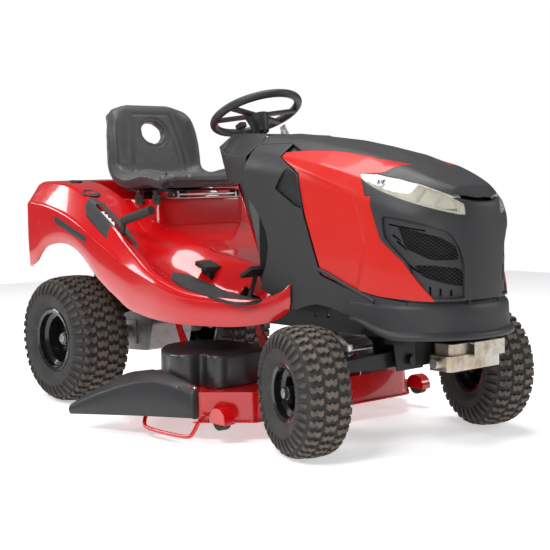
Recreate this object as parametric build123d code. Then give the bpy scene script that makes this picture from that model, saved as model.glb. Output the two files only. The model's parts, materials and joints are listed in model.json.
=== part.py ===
"""Riding lawn mower with a side-discharge deck, as separate pieces.

Design frame: millimetres, X to the operator's left, Y to the rear, Z up from the ground.
Y is 0 at the front axle and X is 0 on the centreline while the pieces are designed.
Every piece is moved at the end so that the origin is on the ground under the middle
of the whole machine.
"""

from build123d import *
import math
import os

# ------------------------------------------------------------------ driving sizes
WHEELBASE = 1310
FRONT_TRACK = 736  # between the front tyre centres with the wheels straight
REAR_TRACK = 668
FRONT_TYRE_D, FRONT_TYRE_W, FRONT_RIM_D = 381, 152, 152.4  # 15 x 6.00-6
REAR_TYRE_D, REAR_TYRE_W, REAR_RIM_D = 457, 216, 203.2  # 18 x 8.50-8
STEER_REST = -17  # front wheels stand turned to the right
KINGPIN_OFFSET = 106  # kingpin axis to the tyre's middle plane
RAIL_X = 150  # outer face of each frame rail
RAIL_BOTTOM, RAIL_HEIGHT, RAIL_FLANGE, RAIL_WALL = 335, 70, 32, 3
HOOD_HALF_W = 232
SKIN_WALL = 4
BODY_HALF_W = 430
BODY_WALL = 4
DECK_BOTTOM, DECK_HEIGHT, DECK_WALL = 60, 92, 3
DECK_HALF_W, DECK_HALF_L = 500, 290
DECK_FRONT_CUT, DECK_REAR_CUT, DECK_LIP = 169, 120, 10  # corner cuts and lip of the deck
BLADE_LENGTH, BLADE_PITCH = 486, 478
STEERING_WHEEL_D, STEERING_RIM_D = 322, 27
COLUMN_TILT = 24  # from the vertical, leaning to the rear
SEAT_HALF_W, SEAT_DEPTH, SEAT_THICK, SEAT_BACK_TOP = 213, 408, 70, 1085
SHAFT_GAP = 0.05  # radial running clearance
PART_GAP = 3  # between neighbouring covers
AXLE_SHAFT_R = 9.5
KINGPIN_R = 10

# ------------------------------------------------------------------ derived places
REAR_Y = WHEELBASE
FRONT_R, REAR_R = FRONT_TYRE_D / 2, REAR_TYRE_D / 2
KINGPIN_X = FRONT_TRACK / 2 - KINGPIN_OFFSET
RAIL_TOP = RAIL_BOTTOM + RAIL_HEIGHT
AXLE_PIVOT_Z = FRONT_R + 60
ARM_Z, ARM_THICK, ARM_LENGTH = FRONT_R + 108, 8, 80
KINGPIN_BOTTOM = FRONT_R - 10
BOSS_BOTTOM, BOSS_TOP, BOSS_R = FRONT_R + 18, FRONT_R + 92, 18
TIE_ROD_Z, DRAG_LINK_Z = ARM_Z - 15, ARM_Z + ARM_THICK + 11
SECTOR_Z, SECTOR_THICK = DRAG_LINK_Z + 24, 6
GEAR_MODULE, PINION_TEETH, SECTOR_TEETH = 4, 8, 48
PINION_R, SECTOR_R = GEAR_MODULE * PINION_TEETH / 2, GEAR_MODULE * SECTOR_TEETH / 2
SECTOR_PIVOT_Y = 350
PINION_Y = SECTOR_PIVOT_Y + SECTOR_R - PINION_R
WHEEL_HUB = (0, 654, 1018)  # centre of the steering wheel's rim
COLUMN_AXIS = (0, math.sin(math.radians(COLUMN_TILT)), math.cos(math.radians(COLUMN_TILT)))
COLUMN_LENGTH = (WHEEL_HUB[1] - PINION_Y) / math.sin(math.radians(COLUMN_TILT))
COUPLING_Z = WHEEL_HUB[2] - COLUMN_LENGTH * COLUMN_AXIS[2]
CRANK_Y = 125
DRIVE_BELT_Z = RAIL_BOTTOM + 24
TRANS_PULLEY_Y = REAR_Y - 90
DECK_Y = (FRONT_R + REAR_Y - REAR_R) / 2 - 61
DECK_TOP = DECK_BOTTOM + DECK_HEIGHT
BLADE_X = (-BLADE_PITCH / 2, BLADE_PITCH / 2)
BLADE_Y = (DECK_Y - 22, DECK_Y + 22)
SPINDLE_R, DECK_PULLEY_R = 12.5, 68
HOOD_PIN = (-324, 449)
SEAT_BOTTOM = 766
SEAT_REAR_Y = REAR_Y - 12
SEAT_FRONT_Y = SEAT_REAR_Y - SEAT_DEPTH
LEVER_X, LEVER_PIVOT = -366, (REAR_Y - 300, 425)
DEFLECTOR_HINGE = (-DECK_HALF_W + 34, DECK_TOP + 12)
CHUTE_Y0, CHUTE_Y1 = DECK_Y - 165, DECK_Y + 130
PEDAL_PIVOT = (470, 385)
REVERSE_PIVOT = (640, 385)
FLOOR_FRONT_Y = 160
FLOOR_LINE = [(FLOOR_FRONT_Y, 452), (260, 427), (560, 452), (REAR_Y - 610, 500)]
TUNNEL_TOP = 515
PEDESTAL_BASE, PEDESTAL_HEAD = (450, TUNNEL_TOP), (574, 784)  # rear face of the steering pedestal
PEDESTAL_HALF_W, TUNNEL_HALF_W, SEAT_BOX_HALF_W, SEAT_BAY_HALF_W = 146, 155, 208, 232
SEAT_BOX_TOP = 733
LEG_X = (-170, 176)  # planes of the two lift arms


# ------------------------------------------------------------------ shape helpers
def outline(points, radius=0):
    """Closed flat face through the points, its corners rounded when a radius is given."""
    if radius:
        return make_face(FilletPolyline(*points, radius=radius, close=True))
    return make_face(Polyline(*points, close=True))


def along_x(points, x0, x1, radius=0):
    """Outline in (Y, Z), stretched from x0 to x1."""
    return extrude(Plane.YZ.offset(x0) * outline(points, radius), amount=x1 - x0, dir=(1, 0, 0))


def along_y(points, y0, y1, radius=0):
    """Outline in (X, Z), stretched from y0 to y1."""
    return extrude(Plane.XZ.offset(-y0) * outline(points, radius), amount=y1 - y0, dir=(0, 1, 0))


def along_z(points, z0, z1, radius=0):
    """Outline in (X, Y), stretched from z0 to z1."""
    return extrude(Plane.XY.offset(z0) * outline(points, radius), amount=z1 - z0, dir=(0, 0, 1))


def block(x0, x1, y0, y1, z0, z1):
    return Pos((x0 + x1) / 2, (y0 + y1) / 2, (z0 + z1) / 2) * Box(x1 - x0, y1 - y0, z1 - z0)


def rod_x(r, x0, x1, y, z):
    return Pos((x0 + x1) / 2, y, z) * Rot(0, 90, 0) * Cylinder(r, x1 - x0)


def rod_y(r, y0, y1, x, z):
    return Pos(x, (y0 + y1) / 2, z) * Rot(90, 0, 0) * Cylinder(r, y1 - y0)


def rod_z(r, z0, z1, x, y):
    return Pos(x, y, (z0 + z1) / 2) * Cylinder(r, z1 - z0)


def turned_x(profile):
    """Profile in (x, radius), turned round the X axis."""
    return revolve(outline(profile), Axis.X)


def turned_z(profile):
    """Profile in (radius, z), turned round the Z axis."""
    return revolve(Plane.XZ * outline(profile), Axis.Z)


def mirrored(shape):
    """The piece on the other side of the centreline."""
    return mirror(shape, Plane.YZ)


def both_sides(shape):
    return shape + mirrored(shape)


def bar(start, end, r):
    """Round bar between two points."""
    a, b = Vector(*start), Vector(*end)
    return Plane(origin=a, z_dir=b - a) * Cylinder(
        r, (b - a).length, align=(Align.CENTER, Align.CENTER, Align.MIN),
    )


def line_height(points, y):
    """Height of a chain of straight lines in (Y, Z) at y."""
    for (y0, z0), (y1, z1) in zip(points, points[1:]):
        if y0 <= y <= y1:
            return z0 + (z1 - z0) * (y - y0) / (y1 - y0)
    return points[-1][1]


def steered(shape, x):
    """A piece designed round the Z axis, put on the kingpin at x, turned as it stands at rest."""
    return Pos(x, 0, 0) * Rot(0, 0, STEER_REST) * shape


# ------------------------------------------------------------------ wheels
def tyre(diameter, width, rim_d, rim_w):
    outer_r, bead_r, carcass = diameter / 2, rim_d / 2 + 0.2, 10
    half, side = width / 2, diameter / 2 - rim_d / 2
    right = [
        (rim_w / 2 - 3, bead_r),
        (rim_w / 2 - 1.5, bead_r + 13.5),
        (half, bead_r + 0.45 * side),
        (half - 2, outer_r - 0.28 * side),
        (0.84 * half, outer_r - 0.07 * side),
        (0.45 * half, outer_r - 0.015 * side),
    ]
    outside = [*right, (0, outer_r), *[(-x, r) for x, r in reversed(right)]]
    inside = [(
        x - math.copysign(carcass, x) if x else 0, r - (carcass if r > bead_r + 0.5 * side else -1),
    ) for x, r in outside]
    inside[0], inside[-1] = (inside[0][0], bead_r - 5), (inside[-1][0], bead_r - 5)
    return turned_x(outside) - turned_x(inside)


def rim(rim_d, rim_w, dish, hub_r, hub_half, bore_r):
    """Two-piece pressed rim: flanges, stepped barrel, dished disc and hub tube. Outboard is -X."""
    seat_r, wall, half = rim_d / 2, 3.2, rim_w / 2
    well_r, flange_r = seat_r - 14, seat_r + 12
    face_x = -half + dish
    barrel = [
        (-half - 5, flange_r - 4), (-half - 2, flange_r), (-half, seat_r + 2),
        (-half + 2, seat_r - 0.2),
        (-half + 22, seat_r - 0.2), (-half + 30, well_r), (half - 30, well_r),
        (half - 22, seat_r - 0.2),
        (half - 2, seat_r - 0.2), (half, seat_r + 2), (half + 2, flange_r), (half + 5, flange_r - 4),
        (half + 2, seat_r - wall), (half - 20, seat_r - wall - 0.2), (half - 28, well_r - wall),
        (-half + 28, well_r - wall), (-half + 20, seat_r - wall - 0.2), (-half - 2, seat_r - wall),
    ]
    disc = [
        (face_x, well_r - 1), (face_x, 0.72 * well_r), (face_x - 10, 0.62 * well_r),
        (face_x - 10, hub_r - 2),
        (face_x - 6, hub_r - 2), (face_x - 6, 0.62 * well_r), (face_x + 4, 0.72 * well_r),
        (face_x + 4, well_r - 1),
    ]
    hub = [(-hub_half, bore_r), (-hub_half, hub_r), (hub_half, hub_r), (hub_half, bore_r)]
    solid = turned_x(barrel) + turned_x(disc) + turned_x(hub)
    for k in range(5):
        angle = math.radians(72 * k + 18)
        y, z = 0.8 * 0.62 * well_r * math.cos(angle), 0.8 * 0.62 * well_r * math.sin(angle)
        solid += rod_x(5, face_x - 16, face_x - 8, y, z)
    return solid


def front_wheel(side):
    """Rim and tyre on one front spindle; side is -1 on the right, 1 on the left."""
    x = side * KINGPIN_X
    place = Pos(side * KINGPIN_OFFSET, 0, FRONT_R)
    face = Rot(0, 0, 0) if side < 0 else Rot(0, 0, 180)
    wheel = rim(FRONT_RIM_D, 116, 62, 20, FRONT_HUB_HALF, AXLE_SHAFT_R + SHAFT_GAP)
    rubber = tyre(FRONT_TYRE_D, FRONT_TYRE_W, FRONT_RIM_D, 116)
    return steered(place * face * wheel, x), steered(place * face * rubber, x)


def rear_wheel(side):
    place = Pos(side * REAR_TRACK / 2, REAR_Y, REAR_R)
    face = Rot(0, 0, 0) if side < 0 else Rot(0, 0, 180)
    wheel = rim(REAR_RIM_D, 180, 92, 24, 44, AXLE_SHAFT_R)
    rubber = tyre(REAR_TYRE_D, REAR_TYRE_W, REAR_RIM_D, 180)
    return place * face * wheel, place * face * rubber


FRONT_HUB_HALF = 52
REAR_HUB_HALF = 44
TRANS_TUBE_END = REAR_TRACK / 2 - REAR_HUB_HALF - 60


def axle_shaft(side):
    """Rear axle shaft, keyed into its wheel, running in the transaxle."""
    x0, x1 = sorted((side * 45, side * (REAR_TRACK / 2 + REAR_HUB_HALF + 6)))
    cap0, cap1 = sorted(
        (side * (REAR_TRACK / 2 + REAR_HUB_HALF), side * (REAR_TRACK / 2 + REAR_HUB_HALF + 9))
    )
    shaft = rod_x(AXLE_SHAFT_R, x0, x1, REAR_Y, REAR_R)
    return shaft + rod_x(21, cap0, cap1, REAR_Y, REAR_R)


# ------------------------------------------------------------------ chassis
def chassis_frame():
    rear_end = REAR_Y + 150
    rail_outer = block(-RAIL_X, -RAIL_X + RAIL_FLANGE, -205, rear_end, RAIL_BOTTOM, RAIL_TOP)
    rail_hollow = block(
        -RAIL_X + RAIL_WALL, -RAIL_X + RAIL_FLANGE + 1, -206, rear_end + 1, RAIL_BOTTOM + RAIL_WALL,
        RAIL_TOP - RAIL_WALL
    )
    rail = rail_outer - rail_hollow
    for y in (-150, -95, 150, 205, 700):
        rail -= rod_x(6, -RAIL_X - 1, -RAIL_X + RAIL_WALL + 1, y, RAIL_TOP - 26)
    for y in (PEDAL_PIVOT[0], REVERSE_PIVOT[0]):
        rail -= rod_x(8 + SHAFT_GAP, -RAIL_X - 1, -RAIL_X + RAIL_WALL + 1, y, PEDAL_PIVOT[1])
    engine_plate = block(-RAIL_X, RAIL_X, -150, 300, RAIL_TOP, RAIL_TOP + 4)
    engine_plate -= rod_z(34, RAIL_TOP - 1, RAIL_TOP + 5, 0, CRANK_Y)
    front_plate = block(-RAIL_X, RAIL_X, -209, -205, RAIL_BOTTOM - 70, RAIL_TOP + 20)
    rear_plate = block(-RAIL_X, RAIL_X, rear_end, rear_end + 4, RAIL_BOTTOM - 60, RAIL_TOP + 40)
    steering_plate = block(
        -RAIL_X, RAIL_X, SECTOR_PIVOT_Y - 35, PINION_Y + 35, RAIL_TOP, RAIL_TOP + 4
    )
    steering_plate -= rod_z(9 + SHAFT_GAP, RAIL_TOP - 1, RAIL_TOP + 5, 0, PINION_Y)
    steering_plate -= rod_z(8, RAIL_TOP - 1, RAIL_TOP + 5, 0, SECTOR_PIVOT_Y)
    seat_cross = block(-RAIL_X, RAIL_X, REAR_Y - 330, REAR_Y - 250, RAIL_TOP, RAIL_TOP + 4)
    hanger = axle_hanger()
    pivot_bolt = rod_z(8, SECTOR_Z - 6, RAIL_TOP + 10, 0, SECTOR_PIVOT_Y)
    pivot_bolt += rod_z(14, RAIL_TOP + 4, RAIL_TOP + 12, 0, SECTOR_PIVOT_Y)
    pivot_bolt += rod_z(13, SECTOR_Z - 12, SECTOR_Z - 2, 0, SECTOR_PIVOT_Y)
    rails = [rail, mirrored(rail), engine_plate, front_plate, rear_plate, steering_plate, seat_cross]
    return [*rails, *hanger, pivot_bolt, *lever_bearings(), *hood_hinge(), *battery_tray()]


AXLE_HANGER_Y, HANGER_WALL, AXLE_PIN_R = 46, 5, 10


def axle_hanger():
    """Two plates and a through pin that carry the swinging front axle."""
    right = [
        (-RAIL_X, RAIL_BOTTOM), (-106, RAIL_BOTTOM - 4), (-70, RAIL_BOTTOM - 34),
        (-56, AXLE_PIVOT_Z - 30),
    ]
    left = [(-x, z) for x, z in reversed(right)]
    plate = along_y([*right, *left], -AXLE_HANGER_Y, -AXLE_HANGER_Y + HANGER_WALL)
    plate -= rod_y(AXLE_PIN_R, -AXLE_HANGER_Y - 1, -AXLE_HANGER_Y + HANGER_WALL + 1, 0, AXLE_PIVOT_Z)
    rear = Pos(0, 2 * AXLE_HANGER_Y - HANGER_WALL, 0) * plate
    pin = rod_y(AXLE_PIN_R, -AXLE_HANGER_Y - 14, AXLE_HANGER_Y + 14, 0, AXLE_PIVOT_Z)
    pin += rod_y(16, -AXLE_HANGER_Y - 14, -AXLE_HANGER_Y, 0, AXLE_PIVOT_Z)
    pin += rod_y(16, AXLE_HANGER_Y, AXLE_HANGER_Y + 14, 0, AXLE_PIVOT_Z)
    return [plate, rear, pin]


HITCH_HOLE_R, HITCH_PLATE_T, HITCH_OUT = 9.5, 8, 72
HITCH_Z = RAIL_BOTTOM - 50


def hitch_plate():
    """Tow tongue bolted to the rear plate."""
    y0 = REAR_Y + 154
    tongue = along_z(
        [(-90, y0), (90, y0), (60, y0 + HITCH_OUT), (-60, y0 + HITCH_OUT)], HITCH_Z,
        HITCH_Z + HITCH_PLATE_T, 8
    )
    upright = block(-90, 90, y0, y0 + 6, HITCH_Z, HITCH_Z + 70)
    bolts = sum((rod_y(8, y0 + 6, y0 + 13, x, HITCH_Z + 46) for x in (-60, 60)), Part())
    hole = rod_z(HITCH_HOLE_R, HITCH_Z - 1, HITCH_Z + HITCH_PLATE_T + 1, 0, y0 + HITCH_OUT - 32)
    return tongue + upright + bolts - hole


def front_axle_beam():
    beam = along_y(
        [
            (-KINGPIN_X, BOSS_TOP - 12), (-KINGPIN_X + 60, BOSS_TOP - 12), (-70, AXLE_PIVOT_Z + 26),
            (70, AXLE_PIVOT_Z + 26),
            (KINGPIN_X - 60, BOSS_TOP - 12), (KINGPIN_X, BOSS_TOP - 12), (KINGPIN_X, BOSS_TOP - 46),
            (KINGPIN_X - 60, BOSS_TOP - 50), (70, AXLE_PIVOT_Z - 20), (-70, AXLE_PIVOT_Z - 20),
            (-KINGPIN_X + 60, BOSS_TOP - 50), (-KINGPIN_X, BOSS_TOP - 46),
        ],
        -22, 22,
    )
    for s in (-1, 1):
        beam += rod_z(BOSS_R, BOSS_BOTTOM, BOSS_TOP, s * KINGPIN_X, 0)
        beam -= rod_z(KINGPIN_R + SHAFT_GAP, BOSS_BOTTOM - 1, BOSS_TOP + 1, s * KINGPIN_X, 0)
    beam += rod_y(
        24, -AXLE_HANGER_Y + HANGER_WALL + 1, AXLE_HANGER_Y - HANGER_WALL - 1, 0, AXLE_PIVOT_Z,
    )
    beam -= rod_y(AXLE_PIN_R + SHAFT_GAP, -AXLE_HANGER_Y, AXLE_HANGER_Y, 0, AXLE_PIVOT_Z)
    return beam


STUD_R, STUD_HOLE_R = 5, 5.1


def spindle(side):
    """Kingpin, stub axle and steering arms, designed round the kingpin axis."""
    pin = rod_z(KINGPIN_R, KINGPIN_BOTTOM, ARM_Z, 0, 0)
    foot = block(-16, 16, -16, 16, KINGPIN_BOTTOM - 6, BOSS_BOTTOM - 1.5)
    reach = KINGPIN_OFFSET + FRONT_HUB_HALF + 4
    stub = rod_x(AXLE_SHAFT_R, 0, reach, 0, FRONT_R) if side > 0 else rod_x(
        AXLE_SHAFT_R, -reach, 0, 0, FRONT_R,
    )
    collar_x = sorted((side * 16, side * (KINGPIN_OFFSET - FRONT_HUB_HALF - 2)))
    foot += rod_x(14, *collar_x, 0, FRONT_R)
    cap_x = sorted(
        (side * (KINGPIN_OFFSET + FRONT_HUB_HALF + 2), side * (KINGPIN_OFFSET + FRONT_HUB_HALF + 12))
    )
    cap = rod_x(17, *cap_x, 0, FRONT_R)
    arms = [(-14, 0), (-14, ARM_LENGTH + 12), (14, ARM_LENGTH + 12), (14, 0)]
    plate = along_z(arms, ARM_Z, ARM_Z + ARM_THICK, 9) + rod_z(17, ARM_Z, ARM_Z + ARM_THICK, 0, 0)
    plate -= rod_z(STUD_HOLE_R, ARM_Z - 1, ARM_Z + ARM_THICK + 1, 0, ARM_LENGTH)
    if side < 0:
        front = [(x, -y) for x, y in arms]
        plate += along_z(front, ARM_Z, ARM_Z + ARM_THICK, 9)
        plate -= rod_z(STUD_HOLE_R, ARM_Z - 1, ARM_Z + ARM_THICK + 1, 0, -ARM_LENGTH)
    washer = rod_z(15, BOSS_TOP + 1, BOSS_TOP + 5, 0, 0)
    return steered(pin + foot + stub + cap + plate + washer, side * KINGPIN_X)


def arm_tip(x, y):
    """Where a steering arm of signed length y ends at rest, on the pivot at x."""
    a = math.radians(STEER_REST)
    return (x - y * math.sin(a), y * math.cos(a))


def tie_rod():
    """Joins the two rearward arms; its studs point up into them."""
    (x0, y0), (x1, y1) = arm_tip(-KINGPIN_X, ARM_LENGTH), arm_tip(KINGPIN_X, ARM_LENGTH)
    rod = bar((x0, y0, TIE_ROD_Z), (x1, y1, TIE_ROD_Z), 7)
    for x, y in ((x0, y0), (x1, y1)):
        rod += Pos(x, y, TIE_ROD_Z) * Sphere(13)
        rod += rod_z(STUD_R, TIE_ROD_Z, ARM_Z + ARM_THICK + 3, x, y)
        rod -= block(
            x - 14, x + 14, y - 14, y + 14, ARM_Z - 1, ARM_Z - 0.5,
        ) - rod_z(STUD_R, ARM_Z - 2, ARM_Z + 2, x, y)
    return rod


LINK_END_R, LINK_END_H = 11, 17
OPEN_PIVOT_GAP = 9  # room round the link's rear stud while the axle swings


def drag_link():
    """Joins the steering sector to the right spindle's forward arm."""
    (x0, y0), (x1, y1) = arm_tip(-KINGPIN_X, -ARM_LENGTH), arm_tip(0, -ARM_LENGTH)
    y1 += SECTOR_PIVOT_Y
    rod = bar((x0, y0, DRAG_LINK_Z), (x1, y1, DRAG_LINK_Z), 7)
    for x, y, low, high in (
        (x0, y0, ARM_Z - 3, DRAG_LINK_Z), (x1, y1, DRAG_LINK_Z, SECTOR_Z + SECTOR_THICK / 2),
    ):
        rod += Pos(x, y, DRAG_LINK_Z) * Cylinder(LINK_END_R, LINK_END_H)
        rod += rod_z(STUD_R, low, high, x, y)
    return rod


def tooth_ring(teeth, module, root_r, tip_r, root_share, tip_share, first, count):
    """Outlines of straight-sided teeth between two radii; shares are of the tooth pitch."""
    pitch = 360 / teeth
    found = []
    for k in range(count):
        mid = first + k * pitch
        corners = []
        for r, share, sign in (
            (root_r, root_share, -1), (tip_r, tip_share, -1), (tip_r, tip_share, 1),
            (root_r, root_share, 1),
        ):
            a = math.radians(mid + sign * share * pitch / 2)
            corners.append((r * math.cos(a), r * math.sin(a)))
        found.append(corners)
    return found


SECTOR_SWEEP = 70  # degrees of toothed arc each way from the pinion, with the wheels straight
MESH_ANGLE = 90  # the pinion stands to the rear of the sector's pivot


def steering_sector():
    """Plate with teeth on the inside of its rim, so it turns the same way as the pinion."""
    pitch = 360 / SECTOR_TEETH
    root_r, tip_r, rim_r = SECTOR_R + 5.2, SECTOR_R - 3.2, SECTOR_R + 16
    start, end = MESH_ANGLE - SECTOR_SWEEP, MESH_ANGLE + SECTOR_SWEEP

    def arc_points(r, a0, a1, steps=14):
        angles = [math.radians(a0 + (a1 - a0) * k / steps) for k in range(steps + 1)]
        return [(r * math.cos(a), r * math.sin(a)) for a in angles]

    ring = along_z([*arc_points(rim_r, start, end), *arc_points(root_r, end, start)], 0, SECTOR_THICK)
    count = int(2 * SECTOR_SWEEP / pitch) - 1
    first = MESH_ANGLE - (count - 1) / 2 * pitch
    for corners in tooth_ring(SECTOR_TEETH, GEAR_MODULE, root_r + 0.5, tip_r, 0.56, 0.30, first, count):
        ring += along_z(corners, 0, SECTOR_THICK)
    eye_r = STUD_R + OPEN_PIVOT_GAP
    arm = along_z([(-17, -ARM_LENGTH), (17, -ARM_LENGTH), (17, 10), (-17, 10)], 0, SECTOR_THICK)
    arm += Pos(0, -ARM_LENGTH, 0) * Cylinder(
        eye_r + 8, SECTOR_THICK, align=(Align.CENTER, Align.CENTER, Align.MIN),
    )
    spokes = []
    for a in (start + 4, end - 4):
        c, s = math.cos(math.radians(a)), math.sin(math.radians(a))
        spokes.append(along_z(
            [(-9 * s, 9 * c), (9 * s, -9 * c), (
                rim_r * c + 9 * s, rim_r * s - 9 * c,
            ), (rim_r * c - 9 * s, rim_r * s + 9 * c)],
            0, SECTOR_THICK,
        ))
    hub = Cylinder(22, SECTOR_THICK, align=(Align.CENTER, Align.CENTER, Align.MIN))
    plate = ring + arm + spokes[0] + spokes[1] + hub
    plate &= Cylinder(rim_r, SECTOR_THICK, align=(Align.CENTER, Align.CENTER, Align.MIN))
    plate -= Cylinder(8 + SHAFT_GAP, 3 * SECTOR_THICK)
    plate -= Pos(0, -ARM_LENGTH, 0) * Cylinder(eye_r, 3 * SECTOR_THICK)
    return Pos(0, SECTOR_PIVOT_Y, SECTOR_Z) * Rot(0, 0, STEER_REST) * plate


PINION_RATIO = SECTOR_TEETH / PINION_TEETH


def steering_pinion_shaft():
    """Upright lower steering shaft with its pinion, and the rubber coupling at its top."""
    root_r, tip_r = PINION_R - 5.0, PINION_R + 3.0
    gear = Cylinder(root_r, SECTOR_THICK + 6, align=(Align.CENTER, Align.CENTER, Align.MIN))
    # A gap of the sector faces the pinion when a tooth count that is odd stands in the middle.
    for corners in tooth_ring(
        PINION_TEETH, GEAR_MODULE, root_r - 0.5, tip_r, 0.50, 0.26, 22.5, PINION_TEETH,
    ):
        gear += along_z(corners, 0, SECTOR_THICK + 6)
    gear = Rot(0, 0, MESH_ANGLE + STEER_REST * PINION_RATIO) * gear
    shaft = Pos(0, 0, SECTOR_THICK) * Cylinder(
        9, COUPLING_Z - 30 - SECTOR_Z - SECTOR_THICK, align=(Align.CENTER, Align.CENTER, Align.MIN),
    )
    boot = Pos(0, 0, COUPLING_Z - 30 - SECTOR_Z) * Cylinder(15, 12)
    collar = Pos(0, 0, RAIL_TOP + 5 - SECTOR_Z) * Cylinder(
        15, 10, align=(Align.CENTER, Align.CENTER, Align.MIN),
    )
    return Pos(0, PINION_Y, SECTOR_Z) * (gear + shaft + boot + collar)


def on_column(shape):
    """A piece designed round Z, with 0 at the steering wheel's rim, put on the leaning column."""
    return Plane(origin=WHEEL_HUB, x_dir=(1, 0, 0), z_dir=COLUMN_AXIS) * shape


def steering_column():
    shaft = Pos(0, 0, -COLUMN_LENGTH + 8) * Cylinder(
        9, COLUMN_LENGTH - 52, align=(Align.CENTER, Align.CENTER, Align.MIN),
    )
    flange = Pos(0, 0, -COLUMN_LENGTH + 8) * Cylinder(
        13, 8, align=(Align.CENTER, Align.CENTER, Align.MIN),
    )
    return on_column(shaft + flange)


HUB_DROP = 72  # the hub's cone reaches this far under the rim


def steering_wheel():
    ring_r = STEERING_WHEEL_D / 2 - STEERING_RIM_D / 2
    wheel = turned_z([(0, -HUB_DROP), (25, -HUB_DROP), (36, -26), (40, -12), (0, -6)])
    for a in SPOKE_ANGLES:
        wheel += Rot(0, 0, a) * block(0, ring_r, -9, 9, -14, -3)
    wheel -= rod_z(9 + SHAFT_GAP, -HUB_DROP - 1, SHAFT_TOP, 0, 0)
    return on_column(wheel + Torus(ring_r, STEERING_RIM_D / 2))


SPOKE_ANGLES = (162, 198, -18, 18)
SHAFT_TOP = -44


# ------------------------------------------------------------------ drive line and engine
def transaxle_housing():
    y, z = REAR_Y, REAR_R
    case = along_x(
        [
            (y - 150, z + 40), (y - 120, z - 62), (y + 60, z - 74), (y + 88, z - 30), (y + 80, z + 56),
            (y - 30, z + 84), (y - 130, z + 84),
        ],
        -92, 92, 14,
    )
    tube = rod_x(27, -TRANS_TUBE_END, TRANS_TUBE_END, y, z)
    ribs = sum((block(s * 92 - 6, s * 92 + 6, y - 44, y + 44, z - 44, z + 44) for s in (-1, 1)), Part())
    case = case + tube + ribs
    for s in (-1, 1):
        x0, x1 = sorted((s * 40, s * (TRANS_TUBE_END + 1)))
        case -= rod_x(AXLE_SHAFT_R + SHAFT_GAP, x0, x1, y, z)
    case -= rod_z(8 + SHAFT_GAP, z + 30, z + 90, 0, TRANS_PULLEY_Y)
    return case


def transaxle_pulley():
    """Input pulley with its cooling fan."""
    z0 = REAR_R + 86
    pulley = turned_z([
        (0, DRIVE_BELT_Z - 12), (58, DRIVE_BELT_Z - 12), (58, DRIVE_BELT_Z - 9), (47, DRIVE_BELT_Z - 3),
        (47, DRIVE_BELT_Z + 3), (58, DRIVE_BELT_Z + 9), (58, DRIVE_BELT_Z + 12), (0, DRIVE_BELT_Z + 12),
    ])
    shaft = rod_z(8, REAR_R + 40, DRIVE_BELT_Z, 0, 0)
    fan = rod_z(24, z0, z0 + 12, 0, 0)
    for k in range(8):
        blade = Rot(0, 0, 45 * k) * (Pos(40, 0, z0 + 6) * Rot(35, 0, 0) * Box(50, 2, 12))
        fan += blade
    return Pos(0, TRANS_PULLEY_Y, 0) * (pulley + shaft + fan)


def belt_loop(centres, r, section_w, section_h, z):
    """Open V-belt loop round two equal pulleys that lie along Y."""
    y0, y1 = centres
    outer = SlotCenterToCenter(y1 - y0, 2 * (r + section_w))
    inner = SlotCenterToCenter(y1 - y0, 2 * r)
    loop = Plane.XY.offset(z - section_h / 2) * Pos(0, (y0 + y1) / 2) * Rot(0, 0, 90) * (outer - inner)
    return extrude(loop, amount=section_h, dir=(0, 0, 1))


def drive_belt():
    return belt_loop((CRANK_Y, TRANS_PULLEY_Y), 50, 7, 7, DRIVE_BELT_Z)


def crankshaft_pulley():
    """Crankshaft end with the traction pulley and the blade clutch under it."""
    z = DRIVE_BELT_Z
    stack = turned_z([
        (0, z + 12), (58, z + 12), (58, z + 9), (47, z + 3), (47, z - 3), (58, z - 9), (58, z - 12),
        (50, z - 13),
        (50, z - 26), (52, z - 28), (44, z - 34), (44, z - 40), (52, z - 46), (52, z - 48), (0, z - 48),
    ])
    shaft = rod_z(12.7, z, RAIL_TOP + 26, 0, 0)
    return Pos(0, CRANK_Y, 0) * (stack + shaft)


ENGINE_BASE = RAIL_TOP + 4


def engine_block():
    """Crankcase with its mounting flange, finned cylinder and head, upright crankshaft."""
    z = ENGINE_BASE
    flange = along_z([(-125, -60), (125, -60), (125, 215), (-125, 215)], z, z + 14, 20)
    case = along_z([(-105, -38), (105, -38), (105, 195), (-105, 195)], z + 14, z + 178, 24)
    motor = flange + case
    for k in range(7):
        motor += block(-80 + k, 80 - k, -118, -38, z + 40 + 18 * k, z + 47 + 18 * k)
    motor += block(-62, 62, -112, -38, z + 34, z + 158)
    motor += block(-70, 70, -136, -112, z + 30, z + 162)
    motor -= rod_z(12.7 + SHAFT_GAP, z - 1, z + 30, 0, CRANK_Y)
    return motor


def blower_housing():
    """Fan shroud, recoil screen and air-cleaner box over the engine."""
    z = ENGINE_BASE + 178
    shroud = along_z(
        [(-135, -95), (135, -95), (150, 150), (90, 235), (-90, 235), (-150, 150)], z, z + 70, 22,
    )
    dome = Pos(0, CRANK_Y, z + 70) * Cylinder(105, 34, align=(Align.CENTER, Align.CENTER, Align.MIN))
    cap = Pos(0, CRANK_Y, z + 104) * Cylinder(62, 10, align=(Align.CENTER, Align.CENTER, Align.MIN))
    filter_box = along_z([(70, -90), (150, -90), (150, -10), (70, -10)], z + 70, z + 118, 10)
    return shroud + dome + cap + filter_box


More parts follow.
